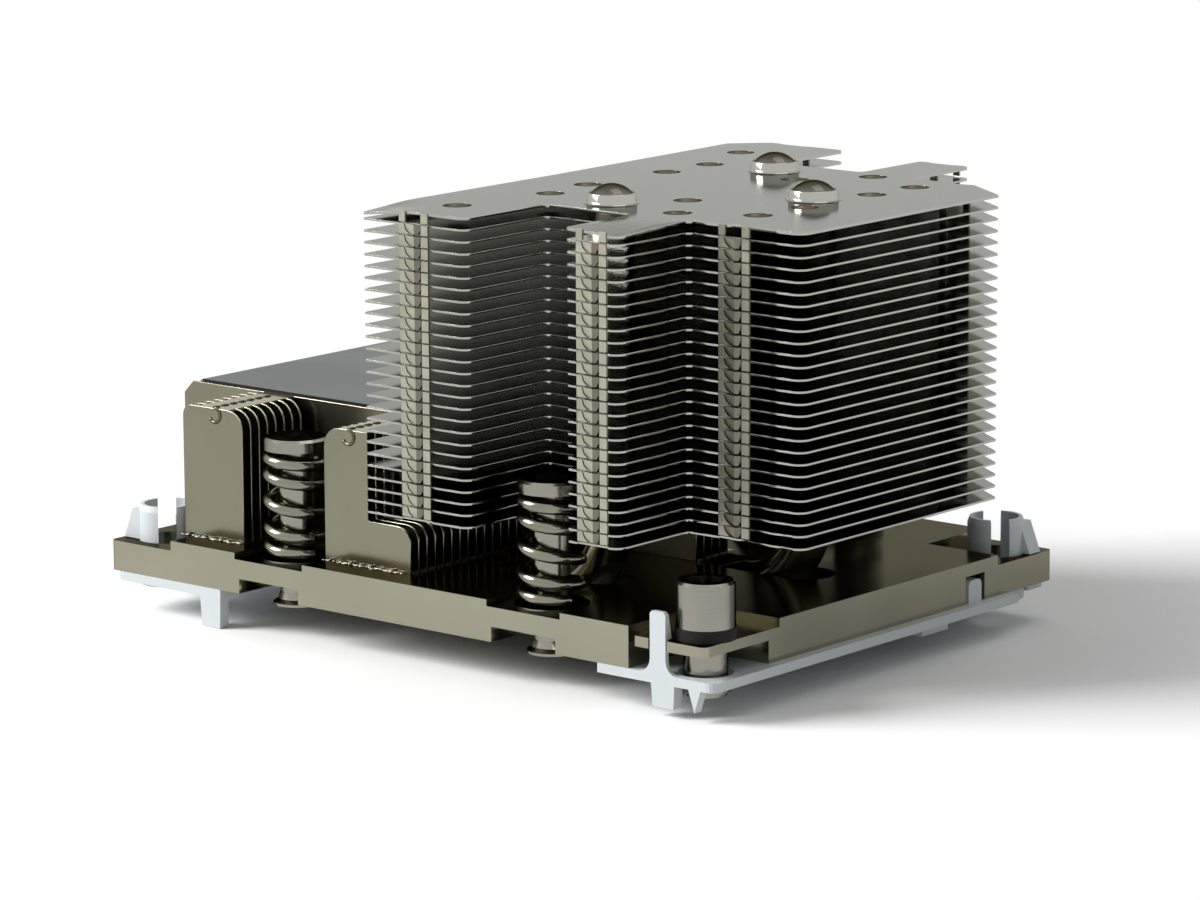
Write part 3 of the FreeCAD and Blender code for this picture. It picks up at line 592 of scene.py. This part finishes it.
def seatPieces(name, form, spots, unevenness, seed, material):
    pattern = bpy.data.objects.new(name + "Form", form)
    bpy.context.scene.collection.objects.link(pattern)
    piece = growPiece(name, seatPoints(name, spots), seating, {
        "Piece": pattern, "Unevenness": unevenness, "Seed": seed, "Material": material})
    bpy.data.objects.remove(pattern)
    return piece


def columnSpots(firstLevel, lastLevel):
    spots = []
    for x, edge in hook["columns"]:
        for level in range(firstLevel, lastLevel + 1):
            z = tallStack["bottom"] + level * tallStack["pitch"] + tallStack["thickness"] - hook["drop"]
            spots.append((x, -edge, z, 0.0))
            spots.append((x, edge, z, math.pi))
    return spots


lastHook = tallStack["count"] - 2
hookColumns = seatPieces("hookColumns", hookMesh("hookForm", "hook"), columnSpots(1, lastHook),
                         0.0, 1, finishes["hook"])
# the tongues' right flanks take the darker copy of the hook finish: painted shade
hookFlanks = seatPieces("hookFlanks", hookMesh("flankForm", "flank"), columnSpots(1, lastHook),
                        0.0, 1, finishes["hookShade"])
topTabs = seatPieces("topTabs", hookMesh("openTabForm", "open"), columnSpots(lastHook + 1, lastHook + 1),
                     0.0, 1, finishes["hook"])

# Top sheet: collars round the pipes, shallow dimples and corners that droop a little

# the dimples' places are in millimetres, and their steps are shares of the radius and the depth
topSheet = {
    "dimples": [(7.2, -33.2), (9.8, -17.1), (8.4, -7.5), (9.2, 8.6), (9.2, 18.2), (5.0, 30.5),
                (28.5, -10.7), (34.5, -20.3), (44.2, -15.5), (44.6, -6.1), (27.7, 13.8), (34.7, 22.3),
                (44.7, 8.7), (45.2, 17.8)],
    "dimpleRadius": 2.0 * mm, "dimpleDepth": 0.6 * mm, "dimpleWall": 0.15 * mm, "dimpleSides": 18,
    "dimpleSink": 0.02 * mm,
    "dimpleSteps": [(1.0, 0.0), (0.92, 0.14), (0.75, 0.52), (0.55, 0.82), (0.3, 0.96), (0.03, 1.0)],
    "collarRadius": 3.4 * mm, "collarHeight": 1.5 * mm, "collarFoot": 0.45 * mm, "collarSides": 32,
    "footLift": 0.01 * mm, "footBend": (0.4, 0.2), "lipOutside": (0.1 * mm, 0.12 * mm),
    "lipInside": (0.06 * mm, 0.15 * mm),
    "droopCorners": [(tallStack["left"], -tallStack["half"], 0.85 * mm, 9.0 * mm),
                     (tallStack["midRight"], -tallStack["midHalf"], 0.6 * mm, 12.0 * mm)],
}


def droopAt(x, y):
    sink = 0.0
    for cornerX, cornerY, droop, reach in topSheet["droopCorners"]:
        away = math.hypot(x - cornerX, y - cornerY) / reach
        if away < 1.0:
            sink += droop * (1.0 - away) ** 2
    return sink


def latheInto(form, x, y, profile, sides):
    rings = []
    for radius, z in profile:
        rings.append([form.verts.new((p.x, p.y, z)) for p in circlePoints(x, y, radius, sides)])
    joinRings(form, rings)
    return rings


def collarProfile(low, high):
    # from the foot on the sheet up the outside, over the lip and down along the pipe
    s, hole = topSheet, tallStack["pipeHole"]
    radius, foot, lip = s["collarRadius"], s["collarFoot"], high + s["collarHeight"]
    bendOut, bendUp = s["footBend"]
    outsideIn, outsideDown = s["lipOutside"]
    insideOut, insideDown = s["lipInside"]
    return [(radius + foot, high + s["footLift"]), (radius + foot * bendOut, high + foot * bendUp),
            (radius, high + foot), (radius, lip - outsideDown), (radius - outsideIn, lip),
            (hole + insideOut, lip), (hole, lip - insideDown), (hole, low)]


def topSheetMesh():
    high = tallStack["topFace"]
    low = high - tallStack["thickness"]
    dents = [circlePoints(x * mm, y * mm, topSheet["dimpleRadius"], topSheet["dimpleSides"])
             for x, y in topSheet["dimples"]]
    mesh = sheetMesh("topSheetFlat", sheetOutline, pipeHoles + dents, low, high, tallStack["topGridStep"])
    form = bmesh.new()
    form.from_mesh(mesh)
    for x, y in pipeAxes:
        latheInto(form, x, y, collarProfile(low, high), topSheet["collarSides"])
    for v in form.verts:
        v.co.z -= droopAt(v.co.x, v.co.y)
    form.to_mesh(mesh)
    form.free()
    return mesh


def dimpleMesh():
    # pressed dishes that hang in the holes of the top sheet
    form = bmesh.new()
    s, rim = topSheet, tallStack["topFace"] - topSheet["dimpleSink"]
    inner = [(s["dimpleRadius"] * out, rim - s["dimpleDepth"] * down) for out, down in s["dimpleSteps"]]
    outer = [(r, z - s["dimpleWall"]) for r, z in reversed(inner)]
    for x, y in s["dimples"]:
        rings = latheInto(form, x * mm, y * mm, inner + outer, s["dimpleSides"])
        first, last = rings[0], rings[-1]
        for i in range(s["dimpleSides"]):
            k = (i + 1) % s["dimpleSides"]
            form.faces.new((last[i], last[k], first[k], first[i]))
    for v in form.verts:
        v.co.z -= droopAt(v.co.x, v.co.y)
    bmesh.ops.recalc_face_normals(form, faces=form.faces[:])
    return meshFrom(form, "topDimples")


topPiece = addPiece("topSheet", topSheetMesh(), finishes["fin_sheet"])
dimples = addPiece("topDimples", dimpleMesh(), finishes["dent"])
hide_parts(*["tall_fin_%02d" % level for level in range(1, tallStack["count"])])
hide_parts("tall_fin_27")
for piece in (levelSheets, hookColumns, hookFlanks, topTabs, topPiece, dimples):
    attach(piece, rootBody)
print("tall stack done")


# Low fins: upright sheets in rows, with flanges, painted shade for their small holes, feet and curls

lowFin = {
    "foot": 5.7 * mm, "top": 24.4 * mm, "stepTop": 12.1 * mm, "tallRight": -9.0 * mm,
    "thickness": 0.3 * mm, "pitch": 1.7 * mm, "firstRow": -34.0 * mm, "gridStep": 6.0 * mm,
    "outerRows": 8, "wideRows": 25, "longRows": 5,
    "round": 2.8 * mm, "stepRound": 2.3 * mm, "cornerRound": 1.6 * mm, "tight": 0.12 * mm,
    "chamfer": 1.8 * mm, "footDepth": 1.35 * mm, "flangeGap": 0.04 * mm, "flangeLeft": -41.0 * mm,
    "holeWidth": 0.62 * mm, "holeLength": 1.0 * mm, "holeInset": 0.15 * mm, "holeRise": 0.12 * mm,
    "leftHole": -38.25 * mm, "middleHole": -12.6 * mm,
}
curl = {"radius": 1.05 * mm, "wire": 0.24 * mm, "sides": 8, "startTurn": -150, "turnStep": 15, "points": 17,
        "places": [("curl_left", -37.75 * mm, 23.45 * mm), ("curl_middle", -12.4 * mm, 23.4 * mm)]}


def widthOf(name):
    low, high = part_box(name)
    return low[0], high[0]


def leftOutline(x0, x1):
    s, tight = lowFin, lowFin["tight"]
    return [(x0, s["foot"], tight), (x1, s["foot"], tight),
            (x1, s["top"], s["round"]), (x0, s["top"], s["cornerRound"])]


def steppedOutline(x0, tallRight, reach, leftRound, chamfer):
    s, tight = lowFin, lowFin["tight"]
    head = [(x0, s["top"], leftRound)]
    if chamfer:
        head = [(x0 + chamfer, s["top"], tight), (x0, s["top"] - chamfer, tight)]
    return [(x0, s["foot"], tight), (reach, s["foot"], tight), (reach, s["stepTop"], s["stepRound"]),
            (tallRight, s["stepTop"], tight), (tallRight, s["top"], tight), *head]


def rowTree():
    inputs = [("Rows", "Int"), ("Pitch", "Float"), ("Material", "Material")]
    tree, entry = startTree("sheetRow", inputs)
    offset = tree.nodes.new("ShaderNodeCombineXYZ")
    line = tree.nodes.new("GeometryNodeMeshLine")
    rows = tree.nodes.new("GeometryNodeInstanceOnPoints")
    tree.links.new(entry.outputs["Pitch"], offset.inputs["Y"])
    tree.links.new(entry.outputs["Rows"], line.inputs["Count"])
    tree.links.new(offset.outputs[0], line.inputs["Offset"])
    tree.links.new(line.outputs[0], rows.inputs["Points"])
    tree.links.new(entry.outputs["Geometry"], rows.inputs["Instance"])
    endTree(tree, entry, rows.outputs[0])
    return tree


def stoodUp(mesh, y):
    # a sheet drawn level is stood up: its second axis becomes the height
    for v in mesh.vertices:
        v.co = (v.co.x, v.co.z + y, v.co.y)
    mesh.flip_normals()
    return mesh


def boxMesh(name, low, high):
    form = bmesh.new()
    spots = [(x, y, z) for x in (low[0], high[0]) for y in (low[1], high[1]) for z in (low[2], high[2])]
    v = [form.verts.new(spot) for spot in spots]
    for a, b, c, d in ((0, 1, 3, 2), (4, 6, 7, 5), (0, 4, 5, 1), (2, 3, 7, 6), (0, 2, 6, 4), (1, 5, 7, 3)):
        form.faces.new((v[a], v[b], v[c], v[d]))
    bmesh.ops.recalc_face_normals(form, faces=form.faces[:])
    return meshFrom(form, name)


def flangeMesh(name, x0, x1, y):
    # the folded lip that reaches to the next sheet
    s = lowFin
    return boxMesh(name, (x0, y + s["thickness"], s["top"] - s["thickness"]),
                   (x1, y + s["pitch"] - s["flangeGap"], s["top"]))


def holeShadeMesh(name, x, y):
    # painted shade for the tab's small hole: a dark patch that stands a little proud of the lip
    s, half = lowFin, lowFin["holeWidth"] / 2
    near = y + s["thickness"] + s["holeInset"]
    return boxMesh(name, (x - half, near, s["top"] - s["thickness"]),
                   (x + half, near + s["holeLength"], s["top"] + s["holeRise"]))


def footMesh(name, x0, x1, y):
    # the folded foot that is soldered to the plate
    s = lowFin
    return boxMesh(name, (x0, y + s["thickness"], s["foot"]),
                   (x1, y + s["thickness"] + s["footDepth"], s["foot"] + s["thickness"]))


def tubeInto(form, path, radius, sides):
    rings = []
    for i, spot in enumerate(path):
        ahead = (path[min(i + 1, len(path) - 1)] - path[max(i - 1, 0)]).normalized()
        across = ahead.cross(Vector((0, 1, 0))).normalized()
        lift = across.cross(ahead)
        ring = []
        for k in range(sides):
            turn = 2 * math.pi * k / sides
            ring.append(form.verts.new(spot + radius * (math.cos(turn) * across + math.sin(turn) * lift)))
        rings.append(ring)
    joinRings(form, rings)
    form.faces.new(rings[0])
    form.faces.new(list(reversed(rings[-1])))


def curlMesh(name, x, y, z):
    # the end of the tab row: a narrow tongue rolled into two thirds of a ring
    form = bmesh.new()
    path = []
    for i in range(curl["points"]):
        turn = math.radians(curl["startTurn"] + curl["turnStep"] * i)
        path.append(Vector((x + curl["radius"] * math.cos(turn), y, z + curl["radius"] * math.sin(turn))))
    tubeInto(form, path, curl["wire"], curl["sides"])
    bmesh.ops.recalc_face_normals(form, faces=form.faces[:])
    return meshFrom(form, name)


sheetRow = rowTree()


def lowRow(name, form, rows, finish="lowFin"):
    piece = growPiece(name, form, sheetRow, {
        "Rows": rows, "Pitch": lowFin["pitch"], "Material": finishes[finish]})
    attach(piece, rootBody)
    return piece


def uprightForm(name, corners, y):
    sheet = sheetMesh(name, roundCorners(corners), [], 0.0, lowFin["thickness"], lowFin["gridStep"])
    return stoodUp(sheet, y)


leftX = widthOf("low_fins_left_front")
middleX = widthOf("low_fins_middle_front")
wideX = widthOf("low_fins_wide")
backRow = lowFin["outerRows"] + lowFin["wideRows"]
for place, row in (("front", 0), ("back", backRow)):
    y = lowFin["firstRow"] + row * lowFin["pitch"]
    sheet = uprightForm("leftForm", leftOutline(*leftX), y)
    sheets = lowRow("leftSheets_" + place, sheet, lowFin["outerRows"])
    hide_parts("low_fins_left_" + place)
    middle = steppedOutline(middleX[0], lowFin["tallRight"], middleX[1], lowFin["round"], 0.0)
    sheets = lowRow("middleSheets_" + place, uprightForm("middleForm", middle, y), lowFin["outerRows"])
    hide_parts("low_fins_middle_" + place)
    tabs = [("left", lowFin["flangeLeft"], leftX[1] - lowFin["round"], lowFin["leftHole"]),
            ("middle", middleX[0] + lowFin["round"], lowFin["tallRight"], lowFin["middleHole"])]
    for block, x0, x1, holeX in tabs:
        lowRow(block + "Flanges_" + place, flangeMesh(block + "Flange", x0, x1, y), lowFin["outerRows"])
        # the holes' dark patches take the black seal finish: painted shade
        lowRow(block + "Holes_" + place, holeShadeMesh(block + "Hole", holeX, y), lowFin["outerRows"] - 1, "seal")
    for block, (x0, x1) in (("left", leftX), ("middle", middleX)):
        lowRow(block + "Feet_" + place, footMesh(block + "Foot", x0, x1, y), lowFin["outerRows"])
shortRows = (lowFin["wideRows"] - lowFin["longRows"]) // 2
wideGroups = [("lowWideFront", 0, shortRows, middleX[1]),
              ("lowWideMiddle", shortRows, lowFin["longRows"], wideX[1]),
              ("lowWideBack", shortRows + lowFin["longRows"], shortRows, middleX[1])]
for name, first, rows, reach in wideGroups:
    y = lowFin["firstRow"] + (lowFin["outerRows"] + first) * lowFin["pitch"]
    outline = steppedOutline(wideX[0], lowFin["tallRight"], reach, 0.0, lowFin["chamfer"])
    lowRow(name, uprightForm(name + "Form", outline, y), rows)
    lowRow(name + "Feet", footMesh(name + "Foot", wideX[0], reach, y), rows)
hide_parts("low_fins_wide")
for name, x, z in curl["places"]:
    # the curls take the dark finish: painted shade
    rolled = addPiece(name, curlMesh(name, x, lowFin["firstRow"], z), finishes["dent"])
    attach(rolled, rootBody)

# Solder: beads and thin runs along the feet of the four outer blocks, and the label's dark front edge

solder = {
    "beadSize": 0.3 * mm, "beadStretch": 1.2, "beadStep": 2.1 * mm, "beadVariety": 0.45, "beadSeed": 6,
    "runSize": 0.3 * mm / 2.2, "runStretch": 5.0, "runStep": 1.1 * mm, "runVariety": 0.3, "runSeed": 7,
    "flatness": 0.8, "out": 0.26 * mm, "leastOut": 0.05 * mm, "lift": 0.06 * mm, "turn": 0.22,
    "waves": (2.3, 5.1), "quickShare": 0.6, "outSpread": (1.3, 0.7), "stepWave": 3.7, "stepSpread": 0.45,
}
labelStrip = {"out": 0.06 * mm, "under": 0.02 * mm, "down": 0.28 * mm}


def solderForm(name, radius, stretch):
    form = bmesh.new()
    bmesh.ops.create_icosphere(form, subdivisions=2, radius=radius)
    for v in form.verts:
        v.co = (v.co.x * stretch, v.co.y, v.co.z * solder["flatness"])
    for face in form.faces:
        face.smooth = True
    return meshFrom(form, name)


def solderSpots(x0, x1, y, side, step, phase):
    # uneven places along a block's foot, from waves that don't match
    slow, quick = solder["waves"]
    outMiddle, outSway = solder["outSpread"]
    z = lowFin["foot"] + solder["lift"]
    spots, x, count = [], x0, 0
    while x < x1:
        sway = math.sin(count * slow + phase) + solder["quickShare"] * math.sin(count * quick + 2.0 * phase)
        out = max(solder["out"] * (outMiddle + outSway * sway), solder["leastOut"])
        spots.append((x, y + side * out, z, solder["turn"] * sway))
        x += step * (1.0 + solder["stepSpread"] * math.sin(count * solder["stepWave"] + phase))
        count += 1
    return spots


lastFace = lowFin["firstRow"] + (backRow + lowFin["outerRows"] - 1) * lowFin["pitch"] + lowFin["thickness"]
beads, runs = [], []
for x0, x1 in (leftX, middleX):
    for y, side in ((lowFin["firstRow"], -1), (lastFace, 1)):
        beads += solderSpots(x0 + 1.0 * mm, x1 - 0.2 * mm, y, side, solder["beadStep"], x0 * 90)
        runs += solderSpots(x0 + 0.6 * mm, x1 - 0.6 * mm, y, side, solder["runStep"], 1.0)
        runs += solderSpots(x0 + 0.9 * mm, x1 - 0.9 * mm, y + side * 0.3 * mm, side, solder["runStep"], 2.6)
beadForm = solderForm("beadForm", solder["beadSize"], solder["beadStretch"])
solderBeads = seatPieces("solderBeads", beadForm, beads, solder["beadVariety"], solder["beadSeed"],
                         finishes["solder"])
runForm = solderForm("runForm", solder["runSize"], solder["runStretch"])
solderRuns = seatPieces("solderRuns", runForm, runs, solder["runVariety"], solder["runSeed"],
                        finishes["solder"])
labelLow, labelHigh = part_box("label")
stripLow = (labelLow[0], labelLow[1] - labelStrip["out"], labelLow[2] - labelStrip["down"])
stripHigh = (labelHigh[0], labelLow[1] + labelStrip["under"], labelHigh[2])
labelEdge = addPiece("labelEdge", boxMesh("labelEdge", stripLow, stripHigh), finishes["seal"])
for piece, slot in ((solderBeads, "fin_sheet"), (solderRuns, "fin_sheet"), (labelEdge, "label")):
    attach(piece, rootBody)
print("low fins done")


# Springs: round wire that follows a coil with closed ends

coil = {"wireRadius": 0.83 * mm, "outerRadius": 4.7 * mm, "turns": 4.5, "endFlatness": 0.38,
        "startAngle": math.radians(-15.0), "steps": 200, "sides": 18, "pressTravel": 3.0 * mm}


def coilTree():
    inputs = [("CentreX", "Float"), ("CentreY", "Float"), ("Bottom", "Float"), ("Top", "Float"),
              ("CoilRadius", "Float"), ("WireRadius", "Float"), ("Turns", "Float"),
              ("EndFlatness", "Float"), ("StartAngle", "Float"), ("Steps", "Int"), ("Material", "Material")]
    tree, entry = startTree("closedCoil", inputs)
    link = tree.links.new
    line = tree.nodes.new("GeometryNodeMeshLine")
    place = tree.nodes.new("GeometryNodeSetPosition")
    index = tree.nodes.new("GeometryNodeInputIndex")
    spot = tree.nodes.new("ShaderNodeCombineXYZ")
    path = tree.nodes.new("GeometryNodeMeshToCurve")
    section = tree.nodes.new("GeometryNodeCurvePrimitiveCircle")
    section.inputs["Resolution"].default_value = coil["sides"]
    wire = tree.nodes.new("GeometryNodeCurveToMesh")
    wire.inputs["Fill Caps"].default_value = True
    smooth = tree.nodes.new("GeometryNodeSetShadeSmooth")
    take = entry.outputs
    along = sums(tree, "DIVIDE", index.outputs[0], sums(tree, "SUBTRACT", take["Steps"], 1.0))
    wound = sums(tree, "MULTIPLY", sums(tree, "MULTIPLY", along, take["Turns"]), 2 * math.pi)
    turn = sums(tree, "SUBTRACT", take["StartAngle"], wound)
    wave = sums(tree, "DIVIDE", sums(tree, "SINE", sums(tree, "MULTIPLY", along, 2 * math.pi)), 2 * math.pi)
    rise = sums(tree, "SUBTRACT", along, sums(tree, "MULTIPLY", wave, take["EndFlatness"]))
    span = sums(tree, "SUBTRACT", take["Top"], take["Bottom"])
    across = sums(tree, "MULTIPLY", sums(tree, "COSINE", turn), take["CoilRadius"])
    aside = sums(tree, "MULTIPLY", sums(tree, "SINE", turn), take["CoilRadius"])
    link(sums(tree, "ADD", across, take["CentreX"]), spot.inputs["X"])
    link(sums(tree, "ADD", aside, take["CentreY"]), spot.inputs["Y"])
    link(sums(tree, "ADD", sums(tree, "MULTIPLY", rise, span), take["Bottom"]), spot.inputs["Z"])
    link(take["Steps"], line.inputs["Count"])
    link(line.outputs[0], place.inputs["Geometry"])
    link(spot.outputs[0], place.inputs["Position"])
    link(place.outputs[0], path.inputs[0])
    link(path.outputs[0], wire.inputs["Curve"])
    link(take["WireRadius"], section.inputs["Radius"])
    link(section.outputs[0], wire.inputs["Profile Curve"])
    link(wire.outputs[0], smooth.inputs[0])
    endTree(tree, entry, smooth.outputs[0])
    return tree


springNames = ("front_left", "front_right", "back_left", "back_right")
springTree = coilTree()
for springName in springNames:
    springLow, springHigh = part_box("spring_" + springName)
    sleeveLow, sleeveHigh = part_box("sleeve_" + springName)
    centreX = (sleeveLow[0] + sleeveHigh[0]) / 2
    centreY = (sleeveLow[1] + sleeveHigh[1]) / 2
    spring = growPiece("coil_" + springName, bpy.data.meshes.new("coil_" + springName), springTree, {
        "CentreX": centreX, "CentreY": centreY, "Bottom": springLow[2] + coil["wireRadius"],
        "Top": springHigh[2] - coil["wireRadius"], "CoilRadius": coil["outerRadius"] - coil["wireRadius"],
        "WireRadius": coil["wireRadius"], "Turns": coil["turns"], "EndFlatness": coil["endFlatness"],
        "StartAngle": coil["startAngle"], "Steps": coil["steps"], "Material": finishes["spring"]})
    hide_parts("spring_" + springName)
    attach(spring, rootBody)
    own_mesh(spring)
print("springs done")


# Studio: pale floor, plain world, soft lamps and the camera of the photograph

studio = {"floorSize": 6.0, "floorGap": 0.05 * mm, "floorColour": (0.92, 0.92, 0.92), "floorRoughness": 0.9,
          "worldLevel": 0.4, "fadeStart": 0.07, "fadeEnd": 0.2,
          "keyPlace": (-1.35, -1.25, 1.2), "keyAim": (0, 0, 0.02), "keySize": (1.1, 1.1), "keyPower": 66.0,
          "topPlace": (0.2, 0.6, 2.2), "topAim": (0, 0, 0.03), "topSize": (1.2, 1.2), "topPower": 5.0}


def seenDirectly(tree):
    # 1 for camera, glossy and transmission rays, so that metal shows the white surroundings too
    rays = tree.nodes.new("ShaderNodeLightPath")
    mirrored = sums(tree, "MAXIMUM", rays.outputs["Is Glossy Ray"], rays.outputs["Is Transmission Ray"])
    return sums(tree, "MAXIMUM", rays.outputs["Is Camera Ray"], mirrored)


def makeFloor():
    # white paper that keeps the shadow near the part and is plain white further out
    low = cadBox[0][2] - studio["floorGap"]
    half = studio["floorSize"] / 2
    mesh = bpy.data.meshes.new("floor")
    corners = [(-half, -half, low), (half, -half, low), (half, half, low), (-half, half, low)]
    mesh.from_pydata(corners, [], [(0, 1, 2, 3)])
    material = bpy.data.materials.new("floorPaper")
    material.use_nodes = True
    tree = material.node_tree
    shader = tree.nodes["Principled BSDF"]
    shader.inputs["Base Color"].default_value = (*studio["floorColour"], 1.0)
    shader.inputs["Roughness"].default_value = studio["floorRoughness"]
    shader.inputs["Specular IOR Level"].default_value = 0.0
    places = tree.nodes.new("ShaderNodeTexCoord")
    away = tree.nodes.new("ShaderNodeVectorMath")
    away.operation = "LENGTH"
    fade = tree.nodes.new("ShaderNodeMapRange")
    fade.interpolation_type = "SMOOTHSTEP"
    fade.inputs["From Min"].default_value = studio["fadeStart"]
    fade.inputs["From Max"].default_value = studio["fadeEnd"]
    white = tree.nodes.new("ShaderNodeEmission")
    choice = tree.nodes.new("ShaderNodeMixShader")
    tree.links.new(places.outputs["Object"], away.inputs[0])
    tree.links.new(away.outputs["Value"], fade.inputs["Value"])
    tree.links.new(sums(tree, "MULTIPLY", fade.outputs["Result"], seenDirectly(tree)), choice.inputs["Fac"])
    tree.links.new(shader.outputs[0], choice.inputs[1])
    tree.links.new(white.outputs[0], choice.inputs[2])
    tree.links.new(choice.outputs[0], tree.nodes["Material Output"].inputs["Surface"])
    floor = addPiece("floor", mesh, material)


def makeWorld():
    world = bpy.data.worlds.new("studioWorld")
    bpy.context.scene.world = world
    world.use_nodes = True
    tree = world.node_tree
    tree.nodes.clear()
    link = tree.links.new
    out = tree.nodes.new("ShaderNodeOutputWorld")
    plain = tree.nodes.new("ShaderNodeBackground")
    plain.inputs["Strength"].default_value = studio["worldLevel"]
    seen = tree.nodes.new("ShaderNodeBackground")
    seen.inputs["Strength"].default_value = 1.0
    for background in (plain, seen):
        background.inputs["Color"].default_value = (1.0, 1.0, 1.0, 1.0)
    choice = tree.nodes.new("ShaderNodeMixShader")
    link(seenDirectly(tree), choice.inputs["Fac"])
    link(plain.outputs[0], choice.inputs[1])
    link(seen.outputs[0], choice.inputs[2])
    link(choice.outputs[0], out.inputs["Surface"])


def makeLamp(name, spot, target, size, power):
    lamp = bpy.data.lights.new(name, "AREA")
    lamp.shape = "RECTANGLE"
    lamp.size, lamp.size_y = size
    lamp.energy = power
    holder = bpy.data.objects.new(name, lamp)
    bpy.context.scene.collection.objects.link(holder)
    holder.location = spot
    holder.rotation_euler = (Vector(target) - Vector(spot)).to_track_quat("-Z", "Y").to_euler()


photoView = {"place": (450.13 * mm, -533.66 * mm, 156.14 * mm), "azimuth": 39.892, "elevation": 11.205,
             "roll": -0.265, "focal": 152.0, "sensor": 36.0, "nearClip": 0.01, "farClip": 20.0}


def makeCamera():
    az, el, roll = (math.radians(photoView[k]) for k in ("azimuth", "elevation", "roll"))
    look = Vector((-math.sin(az) * math.cos(el), math.cos(az) * math.cos(el), -math.sin(el)))
    right = Vector((math.cos(az), math.sin(az), 0.0))
    up = right.cross(look)
    camX = math.cos(roll) * right + math.sin(roll) * up
    camY = -math.sin(roll) * right + math.cos(roll) * up
    lens = bpy.data.cameras.new("photoCamera")
    lens.lens = photoView["focal"]
    lens.sensor_width = photoView["sensor"]
    lens.sensor_fit = "HORIZONTAL"
    lens.clip_start = photoView["nearClip"]
    lens.clip_end = photoView["farClip"]
    camera = bpy.data.objects.new("photoCamera", lens)
    bpy.context.scene.collection.objects.link(camera)
    turn = Matrix((camX, camY, -look)).transposed().to_4x4()
    camera.matrix_world = Matrix.Translation(photoView["place"]) @ turn
    bpy.context.scene.camera = camera


makeFloor()
makeWorld()
makeLamp("keySoftbox", studio["keyPlace"], studio["keyAim"], studio["keySize"], studio["keyPower"])
makeLamp("topSoftbox", studio["topPlace"], studio["topAim"], studio["topSize"], studio["topPower"])
makeCamera()
bpy.context.scene.view_settings.view_transform = "Standard"
print("studio done")
